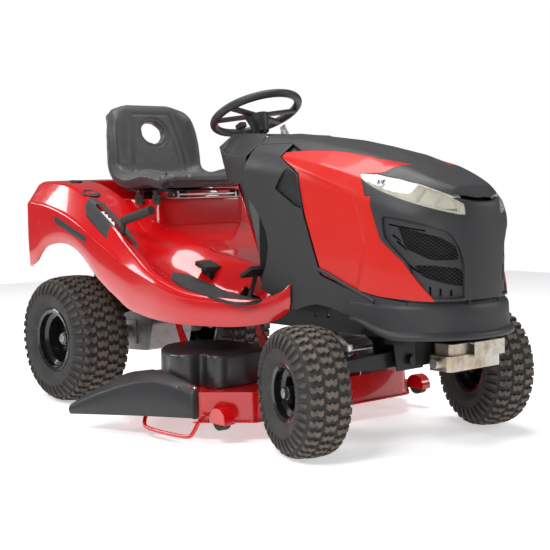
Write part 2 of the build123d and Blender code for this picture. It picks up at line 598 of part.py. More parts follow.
def muffler():
    """Muffler box hung low at the front, with its outlet and heat-shield plate."""
    z0, z1 = RAIL_BOTTOM - 84, RAIL_BOTTOM - 8
    can = along_z([(-112, -300), (112, -300), (112, -216), (-112, -216)], z0, z1 - 32, 16)
    top = along_z([(-96, -292), (96, -292), (96, -220), (-96, -220)], z1 - 32, z1, 14)
    outlet = rod_x(14, -140, -110, -262, z0 + 24)
    pipe = bar((60, -230, z1 - 6), (60, -214, z1 - 6), 12)
    shield = along_x([(-312, z1 + 2), (-309, z1 + 2), (-309, z0 + 34), (-312, z0 + 34)], -20, 112)
    shield += block(-20, 112, -311, -296, z1 - 4, z1)
    return can + top + outlet + pipe + shield


# ------------------------------------------------------------------ front covers
def skin_stations():
    """(y, half width, shoulder height, half width of the top, top height) from nose to dash."""
    w = HOOD_HALF_W
    return [
        (-336, w - 150, 700, 46, 728),
        (-318, w - 118, 704, 70, 752),
        (-245, w - 52, 716, 96, 790),
        (-170, w - 17, 738, 108, 821),
        (-60, w, 776, 118, 857),
        (120, w + 3, 820, 128, 893),
        (300, w, 850, 134, 921),
        (432, w - 8, 866, 138, 937),
        (560, w - 32, 876, 132, 946),
        (648, w - 66, 880, 108, 946),
    ]


def station_face(y, half, shoulder, top_half, top, inset, bottom):
    points = [
        (-half + inset, bottom), (-half + inset, shoulder), (-top_half, top - inset),
        (top_half, top - inset), (half - inset, shoulder), (half - inset, bottom),
    ]
    return Plane.XZ.offset(-y) * outline(points)


SKIN_BOTTOM = 402


def skin_solid(inset, bottom):
    """Solid inside the front covers, moved inwards by the inset and open-ended to the rear."""
    (first_y, *first), *middle, (last_y, *last) = skin_stations()
    stations = [(first_y + inset, *first), *middle, (last_y + (2 if inset else 0), *last)]
    return loft([station_face(*s, inset, bottom) for s in stations], ruled=True)


def skin(inset=0, wall=SKIN_WALL):
    """Whole front skin, or a sheet behind it, open below and to the rear."""
    return skin_solid(inset, SKIN_BOTTOM) - skin_solid(inset + wall, SKIN_BOTTOM - 20)


HOOD_REAR_Y = 432
COVER_GROOVE = 1.5
LAMP_EDGE = [(-50, 811), (-199, 747), (-322, 694), (-350, 694), (-350, 733), (-293, 733), (-180, 782)]
LAMP_INNER_X = 78
NOSE_BAR_HALF_W = 74
NOSE_OPENINGS = [
    [(-340, 472), (-245, 472), (-222, 520), (-222, 545), (-340, 545)],
    [(-340, 555), (-218, 555), (-188, 600), (-188, 628), (-340, 628)],
]
HOOD_EDGE = [
    (-400, 452), (-225, 452), (-13, 482), (92, 514), (162, 688), (212, 872), (HOOD_REAR_Y, 900),
]
PANEL_FRONT = [(-285, 452), (-215, 564), (-150, 622), (-112, 720), (-100, 788)]


def region(points):
    """Slab over the whole width whose side view is the outline; it cuts pieces out of the skin."""
    return along_x(points, -400, 400)


def hood_parts(whole):
    """Black top and nose, and the coloured side panels, cut from the skin."""
    ceiling = 1000
    hood = whole & region([*HOOD_EDGE, (HOOD_REAR_Y, ceiling), (-400, ceiling)])
    panel_zone = [*PANEL_FRONT, (120, 838), (214, 860), *reversed(HOOD_EDGE[1:-2])]
    sides = hood & region(panel_zone)
    rest = hood - grown_region(panel_zone, COVER_GROOVE)
    lamps = beside_middle(LAMP_EDGE, LAMP_INNER_X)
    rest -= both_sides(extrude(
        Plane.YZ.offset(-400) * offset(outline(LAMP_EDGE), 1), amount=400 - LAMP_INNER_X + 1,
        dir=(1, 0, 0),
    ))
    for opening in NOSE_OPENINGS:
        rest -= beside_middle(opening, NOSE_BAR_HALF_W)
    return rest, sides, hood & lamps


def grown_region(points, by):
    """The same slab with its outline moved outwards, for the groove between two covers."""
    face = offset(outline(points), amount=by, kind=Kind.INTERSECTION)
    return extrude(Plane.YZ.offset(-400) * face, amount=800, dir=(1, 0, 0))


def beside_middle(points, x_in):
    """Two slabs with the outline, on both sides of a middle strip."""
    return both_sides(along_x(points, -400, -x_in))


def side_fascias(whole):
    """Fixed dark side covers with the vent, the leg and the wheel-arch skirt."""
    g = PART_GAP
    edge = [(y + g, z - g) for y, z in HOOD_EDGE[1:-1]]
    rear_edge = [
        (HOOD_REAR_Y + 8, 868), (445, 780), (305, 737), (240, 612), (250, 545), (240, 470),
        (200, SKIN_BOTTOM - 1),
    ]
    lower = [(180, SKIN_BOTTOM - 1), (150, 432), (-70, 432), (-150, 404), (-150, 446)]
    zone = region([*edge, *rear_edge, *lower])
    return whole & zone


def front_bumper():
    """Nose bumper with its lip, wrapped round the front under the hood."""
    w = HOOD_HALF_W
    plan = [(w + 6, -153), (w - 10, -200), (w - 44, -262), (w - 108, -328), (60, -350)]
    ring_outer = [*plan, *[(-x, y) for x, y in reversed(plan)]]
    inner_plan = [(x - 5, y + (0 if k == 0 else 4)) for k, (x, y) in enumerate(plan)]
    ring_inner = [*inner_plan, *[(-x, y) for x, y in reversed(inner_plan)]]
    band = along_z(ring_outer, 350, 436) - along_z([(x, y + 0.01) for x, y in ring_inner], 340, 430)
    band -= block(-400, 400, -153.5, -100, 300, 500)
    lip_plan = [(x + 9, y - 7 if k else y) for k, (x, y) in enumerate(plan)]
    lip_outer = [*lip_plan, *[(-x, y) for x, y in reversed(lip_plan)]]
    lip = along_z(lip_outer, 345, 350) - along_z(ring_inner, 340, 360)
    cut_back = along_z([(x, y) for x, y in ring_inner] + [(-w - 40, 0), (w + 40, 0)], 425, 440)
    return band + lip - cut_back


def hood_hinge():
    """Pins on two brackets from the front plate, which the hood turns on."""
    y, z = HOOD_PIN
    bracket = along_x([
        (-213, RAIL_TOP - 30), (-209, RAIL_TOP - 30), (-209, RAIL_TOP + 14), (y + 8, z + 8),
        (y - 6, z + 6), (y - 6, z - 8), (-222, RAIL_TOP - 2),
    ], -66, -60)
    bracket -= rod_x(4, -70, -56, y, z)
    pin = rod_x(4, -68, -48, y, z)
    one = bracket + pin
    return [one, mirrored(one)]


def hood_ears():
    """Lugs inside the nose that ride on the hinge pins."""
    y, z = HOOD_PIN
    ear = along_x(
        [(y - 8, z + 4), (y + 9, z - 3), (y + 9, z + 14), (y + 2, z + 30), (y - 8, z + 30)], -56, -50,
    )
    ear -= rod_x(4 + SHAFT_GAP, -60, -46, y, z)
    return both_sides(ear)


def grille_mesh():
    """Mesh sheets behind the nose openings."""
    sheet = skin(SKIN_WALL + 0.4, 2)
    zone = [(
        NOSE_OPENINGS[0][0][0] - 12, NOSE_OPENINGS[0][0][1] - 6,
    ), (-208, 466), (-170, 640), (-350, 640)]
    return sheet & beside_middle(zone, NOSE_BAR_HALF_W - 12)


THROTTLE_X, THROTTLE_Y, THROTTLE_SLOT = -92, -10, (16, 56)
KEY_X, KEY_R = 92, 13


def dash_console(whole):
    """Dash top behind the hood and the hollow steering pedestal under it."""
    gap, wall = PART_GAP, SKIN_WALL
    edge = HOOD_REAR_Y + gap
    top = whole & region(
        [(edge, 905), (edge + 9, 872), (448, 786), (565, 786), (700, 880), (700, 1000), (edge, 1000)]
    )
    back = along_x(
        [(646, 882), (650, 882), (578, 790), (574, 790)], -HOOD_HALF_W + 72, HOOD_HALF_W - 72,
    )
    top -= on_column(Cylinder(30, 400))
    top -= on_column(Pos(THROTTLE_X, THROTTLE_Y, -80) * Box(*THROTTLE_SLOT, 120))
    top -= on_column(Pos(KEY_X, THROTTLE_Y, -80) * Cylinder(KEY_R + 0.5, 120))
    (y0, z0), (y1, z1) = PEDESTAL_BASE, PEDESTAL_HEAD
    front = 300
    w = PEDESTAL_HALF_W
    outer = along_x([(front, z0 + 1), (y0 - 1, z0 + 1), (y1 - 1, z1), (front, z1)], -w, w)
    inner = along_x([
        (front - 9, z0 - 20), (y0 - 1, z0 - 20), (y1 + 2, z1 + 9), (front - 9, z1 + 9),
    ], -w + wall, w - wall)
    sides = outer - inner
    return [top, *sides.solids(), back - on_column(Cylinder(30, 400))]


# ------------------------------------------------------------------ rear body
def body_plan(inset):
    w, front, rear = BODY_HALF_W - inset, FLOOR_FRONT_Y + inset, REAR_Y + 240 - inset
    right = [(-240 + inset, front), (-w, 560), (-w, REAR_Y + 90), (-w + 60, rear)]
    return [*right, *[(-x, y) for x, y in reversed(right)]]


def body_top():
    """Side view of the running board's and fender's upper surface."""
    r = REAR_Y
    fender = [
        (r - 410, 600), (r - 260, 690), (r - 150, 752), (r - 50, 788), (r + 90, 802), (r + 190, 786),
        (r + 236, 720),
    ]
    return [*FLOOR_LINE, *fender, (r + 240, 600)]


def body_skirt():
    """Lower edge of the fenders from the rear end over the wheel to the front."""
    r, t = REAR_Y, REAR_TYRE_D
    arch = [
        (r + 222, t + 22), (r + 98, t + 50), (r + 29, t + 107), (r - 76, t + 125), (r - 176, t + 104),
        (r - 270, t + 38),
    ]
    sill = [
        (r - 331, t - 3), (r - 421, t - 49), (r - 497, t - 84), (r - 622, 353), (526, 344), (398, 342),
    ]
    return [*arch, *sill, (270, 358), (215, 380), (FLOOR_FRONT_Y, 412)]


def lowered(points, by):
    return [(y, z - by) for y, z in points]


def rear_body():
    """One moulding: running boards, tunnel, seat box, fenders and the pedestal's rear face."""
    r, t, bay, box_top = REAR_Y, BODY_WALL, SEAT_BAY_HALF_W, SEAT_BOX_TOP
    top = body_top()
    outer = along_x([*top, *body_skirt()], -BODY_HALF_W, BODY_HALF_W) & along_z(body_plan(0), 300, 900)
    under = [(
        top[0][0] + t, top[0][1] - t,
    ), *lowered(top[1:-3], t), (r + 186, 780), (r + 231, 717), (r + 236, 600)]
    low = 250
    inner = along_x([*under, (top[-1][0] - t, low), (top[0][0] + t, low)], -BODY_HALF_W, BODY_HALF_W)
    inner &= along_z(body_plan(t), low - 50, 900)
    outer -= block(-bay, bay, r - 420, SEAT_REAR_Y + 46, box_top, 950)
    inner -= block(-bay - t, bay + t, r - 424, SEAT_REAR_Y + 46 + t, box_top - t, 950)
    tunnel_line = [(300, 430), (300, TUNNEL_TOP), (PEDESTAL_BASE[0], TUNNEL_TOP), (r - 344, 600)]
    outer += along_x([*tunnel_line, (r - 344, 420), (300, 420)], -TUNNEL_HALF_W, TUNNEL_HALF_W)
    w = TUNNEL_HALF_W - t
    inner += along_x([
        (299, 300), (299, TUNNEL_TOP - t), (PEDESTAL_BASE[0], TUNNEL_TOP - t), (r - 340, 596),
        (r - 340, 300),
    ], -w, w)
    outer += block(-SEAT_BOX_HALF_W, SEAT_BOX_HALF_W, r - 345, r - 60, 440, box_top)
    w = SEAT_BOX_HALF_W - t
    inner += block(-w, w, r - 345 + t, r - 60 - t, low, box_top - t)
    (y0, z0), (y1, z1) = PEDESTAL_BASE, PEDESTAL_HEAD
    face = along_x(
        [(y0, z0 - t), (y0 + t, z0 - t), (y1 + t, z1), (y1, z1)], -TUNNEL_HALF_W, TUNNEL_HALF_W,
    )
    shell = outer - inner + face
    shell -= block(
        -PEDESTAL_HALF_W + 6, PEDESTAL_HALF_W - 6, 290, PEDESTAL_BASE[0] - t, TUNNEL_TOP - 20,
        TUNNEL_TOP + 9,
    )
    shell -= block(-HOOD_HALF_W - 7, HOOD_HALF_W + 7, FLOOR_FRONT_Y - 9, 299, low, TUNNEL_TOP + 9)
    shell -= block(LEVER_X - 7, LEVER_X + 7, LEVER_PIVOT[0] - 158, LEVER_PIVOT[0] + 90, 520, 780)
    shell -= rod_z(FILLER_R + 4, 700, 900, FILLER_X, FILLER_Y)
    shell -= block(-226, -190, PEDAL_PIVOT[0] - 90, PEDAL_PIVOT[0] + 26, 380, 500)
    shell -= block(190, 226, PEDAL_PIVOT[0] - 90, PEDAL_PIVOT[0] + 26, 380, 500)
    shell -= block(-236, -214, REVERSE_PIVOT[0] - 30, REVERSE_PIVOT[0] + 30, 380, 500)
    return max(shell.solids(), key=lambda s: s.volume)


FILLER_R, FILLER_X, FILLER_Y = 34, 330, REAR_Y + 60


def foot_mats():
    """Ribbed mats laid in the two footwells, with a slot for the reverse pedal's stem."""
    y0, y1 = 520, REAR_Y - 620
    line = [(y, line_height(FLOOR_LINE, y) + 0.2) for y in (y0, FLOOR_LINE[2][0], y1)]
    mat = along_x([*line, *reversed(lowered(line, -5))], -400, -170)
    slot = block(-238, -212, REVERSE_PIVOT[0] - 32, REVERSE_PIVOT[0] + 32, 400, 520)
    return [*(mat - slot).solids(), *mirrored(mat).solids()]


def fuel_tank():
    x0, x1 = 242, 385
    tank = along_z(
        [(x0, REAR_Y - 60), (x1, REAR_Y - 60), (x1, REAR_Y + 170), (x0, REAR_Y + 170)], 590, 740, 20,
    )
    neck = rod_z(FILLER_R - 6, 740, 806, FILLER_X, FILLER_Y)
    return tank + neck


def fuel_cap():
    cap = rod_z(FILLER_R, 808, 826, FILLER_X, FILLER_Y)
    for k in range(10):
        a = math.radians(36 * k)
        cap += rod_z(3, 808, 824, FILLER_X + FILLER_R * math.cos(a), FILLER_Y + FILLER_R * math.sin(a))
    return cap


BATTERY_BASE = RAIL_TOP + 60


def battery():
    case = block(-95, 95, REAR_Y - 250, REAR_Y - 125, BATTERY_BASE, BATTERY_BASE + 160)
    return case + sum(
        (rod_z(8, BATTERY_BASE + 160, BATTERY_BASE + 176, x, REAR_Y - 150) for x in (-70, 70)), Part(),
    )


def battery_tray():
    """Pressed shelf over the rails, on two side plates."""
    tray = block(-120, 120, REAR_Y - 262, REAR_Y - 113, BATTERY_BASE - 4, BATTERY_BASE)
    legs = [block(
        x - 3, x + 3, REAR_Y - 250, REAR_Y - 130, RAIL_TOP, BATTERY_BASE - 4,
    ) for x in (-117, 117)]
    return [tray, *legs]


# ------------------------------------------------------------------ seat
SEAT_PIVOT = (SEAT_FRONT_Y + 48, SEAT_BOTTOM - 19)


def seat_cushion():
    """One-piece seat: cushion and raised back with the hand hole."""
    y0, y1, b, t = SEAT_FRONT_Y, SEAT_REAR_Y, SEAT_BOTTOM, SEAT_THICK
    side = [
        (y0, b + 14), (y0 + 16, b), (y1 - 30, b), (y1, b + 40), (y1 + 34, SEAT_BACK_TOP - 20),
        (y1 + 10, SEAT_BACK_TOP), (y1 - 30, SEAT_BACK_TOP - 20), (y1 - 78, b + t + 60),
        (y1 - 116, b + t), (y0 + 30, b + t - 6),
    ]
    w = SEAT_HALF_W
    front_view = [(-w, b), (w, b), (w, b + 180), (w - 46, SEAT_BACK_TOP + 1), (
        -w + 46, SEAT_BACK_TOP + 1,
    ), (-w, b + 180)]
    plan = [(-w + 30, y0), (w - 30, y0), (w, y0 + 90), (w, y1 + 60), (-w, y1 + 60), (-w, y0 + 90)]
    body = along_x(side, -w, w) & along_y(front_view, y0 - 10, y1 + 60, 24) & along_z(
        plan, b - 1, SEAT_BACK_TOP + 1, 24,
    )
    hole = along_y([
        (-52, b + 178), (52, b + 178), (60, b + 235), (30, b + 278), (-30, b + 278), (-60, b + 235),
    ], y1 - 200, y1 + 100, 16)
    return body - hole


def seat_bracket():
    """Hinged pressed plate with the slotted adjuster rails, and its springs."""
    y0, y1, b = SEAT_FRONT_Y, SEAT_REAR_Y, SEAT_BOTTOM
    plate = block(-150, 150, y0 + 40, y1 - 60, b - 8, b - 4)
    for y in KNOB_Y:
        plate += block(-KNOB_X - 9, -140, y - 14, y + 14, b - 8, b - 4)
    rails = sum(
        (block(s * 120 - 20, s * 120 + 20, y0 + 60, y1 - 90, b - 4, b - 0.5) for s in (-1, 1)), Part(),
    )
    py, pz = SEAT_PIVOT
    ears = sum(
        (block(s * 140 - 3, s * 140 + 3, py - 10, py + 40, pz - 8, b - 4) for s in (-1, 1)), Part(),
    )
    ears -= rod_x(5 + SHAFT_GAP, -160, 160, py, pz)
    springs = sum((rod_z(17, SEAT_BOX_TOP + 0.5, b - 8, x, y1 - 110) for x in (-80, 80)), Part())
    return plate + rails + ears + springs


def seat_hinge():
    """Hinge pin and its two lugs on the seat box, at the front."""
    py, pz = SEAT_PIVOT
    r_front = py - 12
    pin = rod_x(5, -146, 146, py, pz)
    z = SEAT_BOX_TOP
    plate = block(-132, 132, r_front, py + 60, z, z + 3)
    lugs = sum(
        (block(s * 129 - 3, s * 129 + 3, py - 7, py + 7, z + 3, pz + 7) for s in (-1, 1)), Part(),
    )
    return pin + plate + lugs


KNOB_X, KNOB_Y = 221, (SEAT_FRONT_Y + 44, SEAT_FRONT_Y + 150)


def seat_knobs():
    """Two wing knobs under the adjuster rails."""
    knobs = Part()
    x = -KNOB_X
    for y in KNOB_Y:
        knobs += rod_z(10, SEAT_BOTTOM - 34, SEAT_BOTTOM - 8, x, y) + block(
            x - 4, x + 4, y - 20, y + 20, SEAT_BOTTOM - 52, SEAT_BOTTOM - 20,
        )
    return knobs


# ------------------------------------------------------------------ lift lever and pedals
def height_lever():
    """Hand lever through the fender slot, on the lift shaft with its two arms."""
    py, pz = LEVER_PIVOT
    blade = along_x([
        (py - 14, pz), (py + 14, pz), (py - 56, 616), (py - 84, 668), (py - 100, 664), (py - 80, 606),
    ], LEVER_X - 4, LEVER_X + 4)
    grip = bar((LEVER_X, py - 88, 664), (LEVER_X, py - 250, 700), 15)
    shaft = rod_x(11, LEVER_X - 4, 190, py, pz)
    arms = Part()
    for x in LEG_X:
        arms += along_x([
            (py - 96, pz - 12), (py + 12, pz - 14), (py + 12, pz + 14), (py - 96, pz + 6),
        ], x - 4, x + 4, 5)
    return blade + grip + shaft + arms


def lever_bearings():
    """Straps on top of the rails that the lift shaft turns in."""
    py, pz = LEVER_PIVOT
    strap = block(
        -RAIL_X + 4, -RAIL_X + 24, py - 24, py + 24, RAIL_TOP, pz + 22,
    ) - rod_x(11 + SHAFT_GAP, -200, 200, py, pz)
    return [strap, mirrored(strap)]


def lever_plate():
    """Stepped quadrant plate let into the fender beside the lever."""
    line = [(y, line_height(body_top(), y) + 0.2) for y in (
        REAR_Y - 492, REAR_Y - 410, REAR_Y - 260, REAR_Y - 190,
    )]
    plate = along_x([*line, *reversed(lowered(line, -5))], LEVER_X - 38, LEVER_X + 34)
    slot = Pos(LEVER_X, 0, 0) * block(-7, 7, LEVER_PIVOT[0] - 158, LEVER_PIVOT[0] + 90, 520, 780)
    plate -= slot
    return plate


def drive_pedals():
    """Forward and reverse pads on one rocking shaft, right foot."""
    y, z = PEDAL_PIVOT
    shaft = rod_x(8, -330, -120, y, z)
    fore = along_x([(y - 8, z), (y + 8, z), (y - 46, 500), (y - 58, 500)], -212, -204)
    fore += Pos(-208, y - 54, 506) * Rot(-28, 0, 0) * Box(92, 62, 12)
    return shaft + fore


def reverse_pedal():
    """Heel pad on its own stem, which passes through the footwell to a shaft in the rail."""
    y, z = REVERSE_PIVOT
    pad_z = line_height(FLOOR_LINE, y) + 36
    pad = Pos(-225, y, pad_z) * Rot(18, 0, 0) * Box(70, 60, 14)
    stem = block(-229, -221, y - 8, y + 8, z - 4, pad_z)
    return pad + stem + rod_x(8, -236, -120, y, z)


def brake_pedal():
    y, z = PEDAL_PIVOT
    arm = along_x([(y - 8, z), (y + 8, z), (y - 46, 500), (y - 58, 500)], 204, 212)
    pad = Pos(208, y - 54, 506) * Rot(-28, 0, 0) * Box(80, 78, 12)
    return arm + pad + rod_x(8, 120, 330, y, z)


def throttle_lever():
    stem = on_column(Pos(THROTTLE_X, THROTTLE_Y, -90) * Box(8, 16, 60))
    barrel = on_column(Pos(THROTTLE_X, THROTTLE_Y, -120) * Rot(0, 90, 0) * Cylinder(10, 8))
    knob = on_column(Pos(THROTTLE_X, THROTTLE_Y, -54) * Box(24, 30, 16))
    return stem + barrel + knob


def ignition_key():
    barrel = on_column(Pos(KEY_X, THROTTLE_Y, -92) * Cylinder(KEY_R, 40))
    bow = on_column(Pos(KEY_X, THROTTLE_Y, -62) * Box(5, 26, 24))
    return barrel + bow


# ------------------------------------------------------------------ mower deck
def deck_outline(inset):
    w, l, y = DECK_HALF_W - inset, DECK_HALF_L - inset, DECK_Y
    front, rear = DECK_FRONT_CUT, DECK_REAR_CUT
    right = [(-w + rear, y + l), (-w, y + l - rear), (-w, y - l + front), (-w + front, y - l)]
    return [*right, *[(-x, y) for x, y in reversed(right)]]


def deck_shell():
    """Pressed deck, open below, with the discharge opening on the right and its brackets."""
    low, top, wall = DECK_BOTTOM, DECK_TOP, DECK_WALL
    shell = along_z(deck_outline(0), low, top, 40) - along_z(
        deck_outline(wall), low - 5, top - wall, 38,
    )
    shell += along_z(
        deck_outline(-DECK_LIP), low, low + 4, 44,
    ) - along_z(deck_outline(wall), low - 1, low + 5, 38)
    shell -= block(-DECK_HALF_W - 20, -DECK_HALF_W + 60, CHUTE_Y0, CHUTE_Y1, low - 1, top - 8)
    for x, y in zip(BLADE_X, BLADE_Y):
        shell -= rod_z(34, top - 20, top + 20, x, y)
    shell += deck_hangers() + deflector_hinge()
    for side in (-1, 1):
        shell -= Pos(side * GAUGE_X, GAUGE_Y, GAUGE_Z) * Box(
            GAUGE_W + 6, 2 * GAUGE_R + 6, 2 * GAUGE_R + 6,
        )
        shell += gauge_bracket(side)
    return shell


HANGER_TOP = 330


def deck_hangers():
    """Upright straps at the rear, beside the lift arms, and two short ones at the front."""
    top, y0 = DECK_TOP - 1, DECK_Y + DECK_HALF_L - 70
    arm_end = LEVER_PIVOT[0] - 84
    found = Part()
    for x in LEG_X:
        found += along_x([
            (y0, top), (y0 + 60, top), (arm_end + 12, HANGER_TOP), (arm_end - 14, HANGER_TOP),
        ], x + 6, x + 10)
    y0 = DECK_Y - 240
    for x in (-170, 170):
        found += along_x(
            [(y0, top), (y0 + 60, top), (y0 + 40, top + 60), (y0 + 16, top + 60)], x - 2, x + 2,
        )
    return found


def deflector_hinge():
    """Two lugs and the pin that the discharge deflector turns on."""
    hx, hz = DEFLECTOR_HINGE
    found = rod_y(5, CHUTE_Y0 + 6, CHUTE_Y1 - 20, hx, hz)
    for y in HINGE_LUGS:
        found += along_y([
            (hx - 10, hz + 9), (hx + 10, hz + 9), (hx + 26, DECK_TOP - 1), (hx - 10, DECK_TOP - 1),
        ], y, y + 6)
    return found


HINGE_LUGS = (CHUTE_Y0 + 10, CHUTE_Y1 - 30)
GAUGE_R, GAUGE_W, GAUGE_X, GAUGE_Y, GAUGE_Z = 30, 26, 434, DECK_Y - 255, DECK_BOTTOM + 16


def gauge_bracket(side):
    """Domed guard with the axle of a small anti-scalp wheel."""
    x0, x1 = side * GAUGE_X - GAUGE_W / 2 - 6, side * GAUGE_X + GAUGE_W / 2 + 6
    guard = rod_x(GAUGE_R + 8, x0, x1, GAUGE_Y, GAUGE_Z) - rod_x(
        GAUGE_R + 5, x0 + 3, x1 - 3, GAUGE_Y, GAUGE_Z,
    )
    guard &= block(x0, x1, GAUGE_Y - 60, GAUGE_Y + 60, GAUGE_Z - 10, GAUGE_Z + 60)
    u, y = GAUGE_X, GAUGE_Y + GAUGE_R
    wall = DECK_FRONT_CUT - DECK_HALF_W + DECK_Y - DECK_HALF_L + 2  # y - u just inside the corner's wall
    foot = [(u - 16, y), (u + 16, y), (u + 16, u + 16 + wall), (u - 34, u - 34 + wall)]
    tie = along_z([(side * px, py) for px, py in foot], GAUGE_Z + 6, GAUGE_Z + 10)
    return guard + tie + rod_x(6, x0, x1, GAUGE_Y, GAUGE_Z)


def gauge_wheel(side):
    x = side * GAUGE_X
    wheel = rod_x(GAUGE_R, x - GAUGE_W / 2, x + GAUGE_W / 2, GAUGE_Y, GAUGE_Z)
    return wheel - rod_x(6 + SHAFT_GAP, x - 20, x + 20, GAUGE_Y, GAUGE_Z)


def spindle_housings():
    one = turned_z([
        (SPINDLE_R + SHAFT_GAP, DECK_TOP - 40), (32, DECK_TOP - 40), (32, DECK_TOP), (60, DECK_TOP),
        (60, DECK_TOP + 8),
        (30, DECK_TOP + 14), (26, DECK_TOP + 34), (SPINDLE_R + SHAFT_GAP, DECK_TOP + 34),
    ])
    return [Pos(x, y, 0) * one for x, y in zip(BLADE_X, BLADE_Y)]


def blade(index):
    """Blade, its bolt, the spindle shaft and the pulley over the deck."""
    x, y = BLADE_X[index], BLADE_Y[index]
    half = BLADE_LENGTH / 2
    z = DECK_BOTTOM + 14
    flat = along_z([(-half, -28), (half, -28), (half, 28), (-half, 28)], z, z + 5, 6)
    lift = along_x([(28, z), (28, z + 5), (4, z + 26), (4, z + 21)], half - 90, half)
    tips = lift + Rot(0, 0, 180) * lift
    shaft = rod_z(
        SPINDLE_R, z - 6, DECK_TOP + 44, 0, 0,
    ) + rod_z(30, z + 5, z + 15, 0, 0) + rod_z(19, z - 10, z, 0, 0)
    pz = DECK_TOP + 52
    pulley = turned_z([
        (0, pz - 12), (DECK_PULLEY_R, pz - 12), (DECK_PULLEY_R, pz - 9), (DECK_PULLEY_R - 11, pz - 3),
        (DECK_PULLEY_R - 11, pz + 3), (DECK_PULLEY_R, pz + 9), (DECK_PULLEY_R, pz + 12), (0, pz + 12),
    ])
    turn = Rot(0, 0, (24, 90)[index])
    return Pos(x, y, 0) * turn * (flat + tips + shaft + pulley)


def deck_belt():
    """Blade belt round the two deck pulleys, rising to the crankshaft at the front."""
    z = DECK_TOP + 52
    r = DECK_PULLEY_R - 9
    (x0, x1), (y0, y1) = BLADE_X, BLADE_Y
    length = math.hypot(x1 - x0, y1 - y0)
    angle = math.degrees(math.atan2(y1 - y0, x1 - x0))
    ring = SlotCenterToCenter(length, 2 * (r + 6)) - SlotCenterToCenter(length, 2 * r)
    flat = Plane.XY.offset(z - 3) * Pos(0, DECK_Y) * Rot(0, 0, angle) * ring
    return extrude(flat, amount=6, dir=(0, 0, 1))


def belt_covers():
    """Moulded covers over the two deck pulleys."""
    covers = []
    for k, (x, y) in enumerate(zip(BLADE_X, BLADE_Y)):
        s = 1 if x > 0 else -1
        plan = [(-20, -130), (150, -110), (172, 0), (150, 110), (-20, 130)]
        outer_pts = [(x + s * px, y + py) for px, py in plan]
        inner_pts = [(x + s * (px - (4 if px > 0 else -0)), y + py * 0.965) for px, py in plan]
        z1 = DECK_TOP + 104
        cover = along_z(outer_pts, DECK_TOP + 1, z1, 18) - along_z(inner_pts, DECK_TOP, z1 - 4, 16)
        cut = block(*sorted((x - s * 22, x - s * 16)), y - 125, y + 125, DECK_TOP, z1 - 20)
        covers.append(cover - cut)
    return covers


def deflector():
    """Moulded chute that guides clippings out and down; it swings up on its hinge pin."""
    hx, hz = DEFLECTOR_HINGE
    y0, y1 = CHUTE_Y0 - 14, CHUTE_Y1 + 30
    tail = y1 + 120
    out, low = hx - 175, DECK_BOTTOM + 6
    outer = along_y([
        (hx + 8, hz + 14), (hx - 60, hz + 8), (out, low + 16), (out, low), (hx - 44, low),
        (hx - 44, hz - 8), (hx + 8, hz - 8),
    ], y0, tail)
    inner = along_y([
        (hx - 16, hz + 10), (hx - 60, hz + 4), (out + 4, low + 13), (out + 4, low - 5),
        (hx - 16, low - 5),
    ], y0 + 4, tail - 4)
    plan = [(hx + 8, y0), (hx + 8, y1), (out + 30, tail), (out, tail - 30), (out + 110, y0)]
    skirt = (outer - inner) & along_z(plan, low - 10, hz + 20)
    skirt -= rod_y(5.3, y0 - 10, tail, hx, hz)
    for y in HINGE_LUGS:
        skirt -= block(hx - 18, hx + 40, y - 3, y + 9, low - 10, hz + 30)
    pieces = skirt.solids()
    return max(pieces, key=lambda s: s.volume)


# ------------------------------------------------------------------ assembly
def build():
    whole = skin()
    hood, panels, lamps = hood_parts(whole)
    parts = {
        "chassis_frame": chassis_frame(),
        "hitch_plate": hitch_plate(),
        "front_axle_beam": front_axle_beam(),
        "spindle_right": spindle(-1),
        "spindle_left": spindle(1),
        "tie_rod": tie_rod(),
        "drag_link": drag_link(),
        "steering_sector": steering_sector(),
        "steering_pinion_shaft": steering_pinion_shaft(),
        "steering_column": steering_column(),
        "steering_wheel": steering_wheel(),
        "transaxle_housing": transaxle_housing(),
        "transaxle_pulley": transaxle_pulley(),
        "drive_belt": drive_belt(),
        "engine_block": engine_block(),
        "blower_housing": blower_housing(),
        "muffler": muffler(),
        "crankshaft_pulley": crankshaft_pulley(),
        "fuel_tank": fuel_tank(),
        "fuel_cap": fuel_cap(),
        "rear_body": rear_body(),
        "foot_mats": foot_mats(),
        "dash_console": dash_console(whole),
        "side_fascias": side_fascias(whole),
        "front_bumper": front_bumper(),
        "hood_shell": hood + hood_ears(),
        "hood_side_panels": panels,
        "grille_mesh": grille_mesh(),
        "headlights": lamps,
        "seat_cushion": seat_cushion(),
        "seat_bracket": seat_bracket(),
        "seat_hinge": seat_hinge(),
        "seat_knobs": seat_knobs(),
        "height_lever": height_lever(),
        "lever_plate": lever_plate(),
        "drive_pedals": drive_pedals(),
        "reverse_pedal": reverse_pedal(),
        "brake_pedal": brake_pedal(),
        "throttle_lever": throttle_lever(),
        "ignition_key": ignition_key(),
        "deck_shell": deck_shell(),
        "spindle_housings": spindle_housings(),
        "blade_right": blade(0),
        "blade_left": blade(1),
        "deck_belt": deck_belt(),
        "belt_covers": belt_covers(),
        "deflector": deflector(),
        "gauge_wheel_right": gauge_wheel(-1),
        "gauge_wheel_left": gauge_wheel(1),
    }
    parts["battery"] = battery()
    for side, name in ((-1, "right"), (1, "left")):
        parts[f"front_rim_{name}"], parts[f"front_tyre_{name}"] = front_wheel(side)
        parts[f"rear_rim_{name}"], parts[f"rear_tyre_{name}"] = rear_wheel(side)
        parts[f"axle_shaft_{name}"] = axle_shaft(side)
    return parts


def as_compound(shape):
    solids = []
    for s in shape if isinstance(shape, list) else [shape]:
        solids += s.solids()
    return Compound(children=[Solid(s.wrapped) for s in solids])


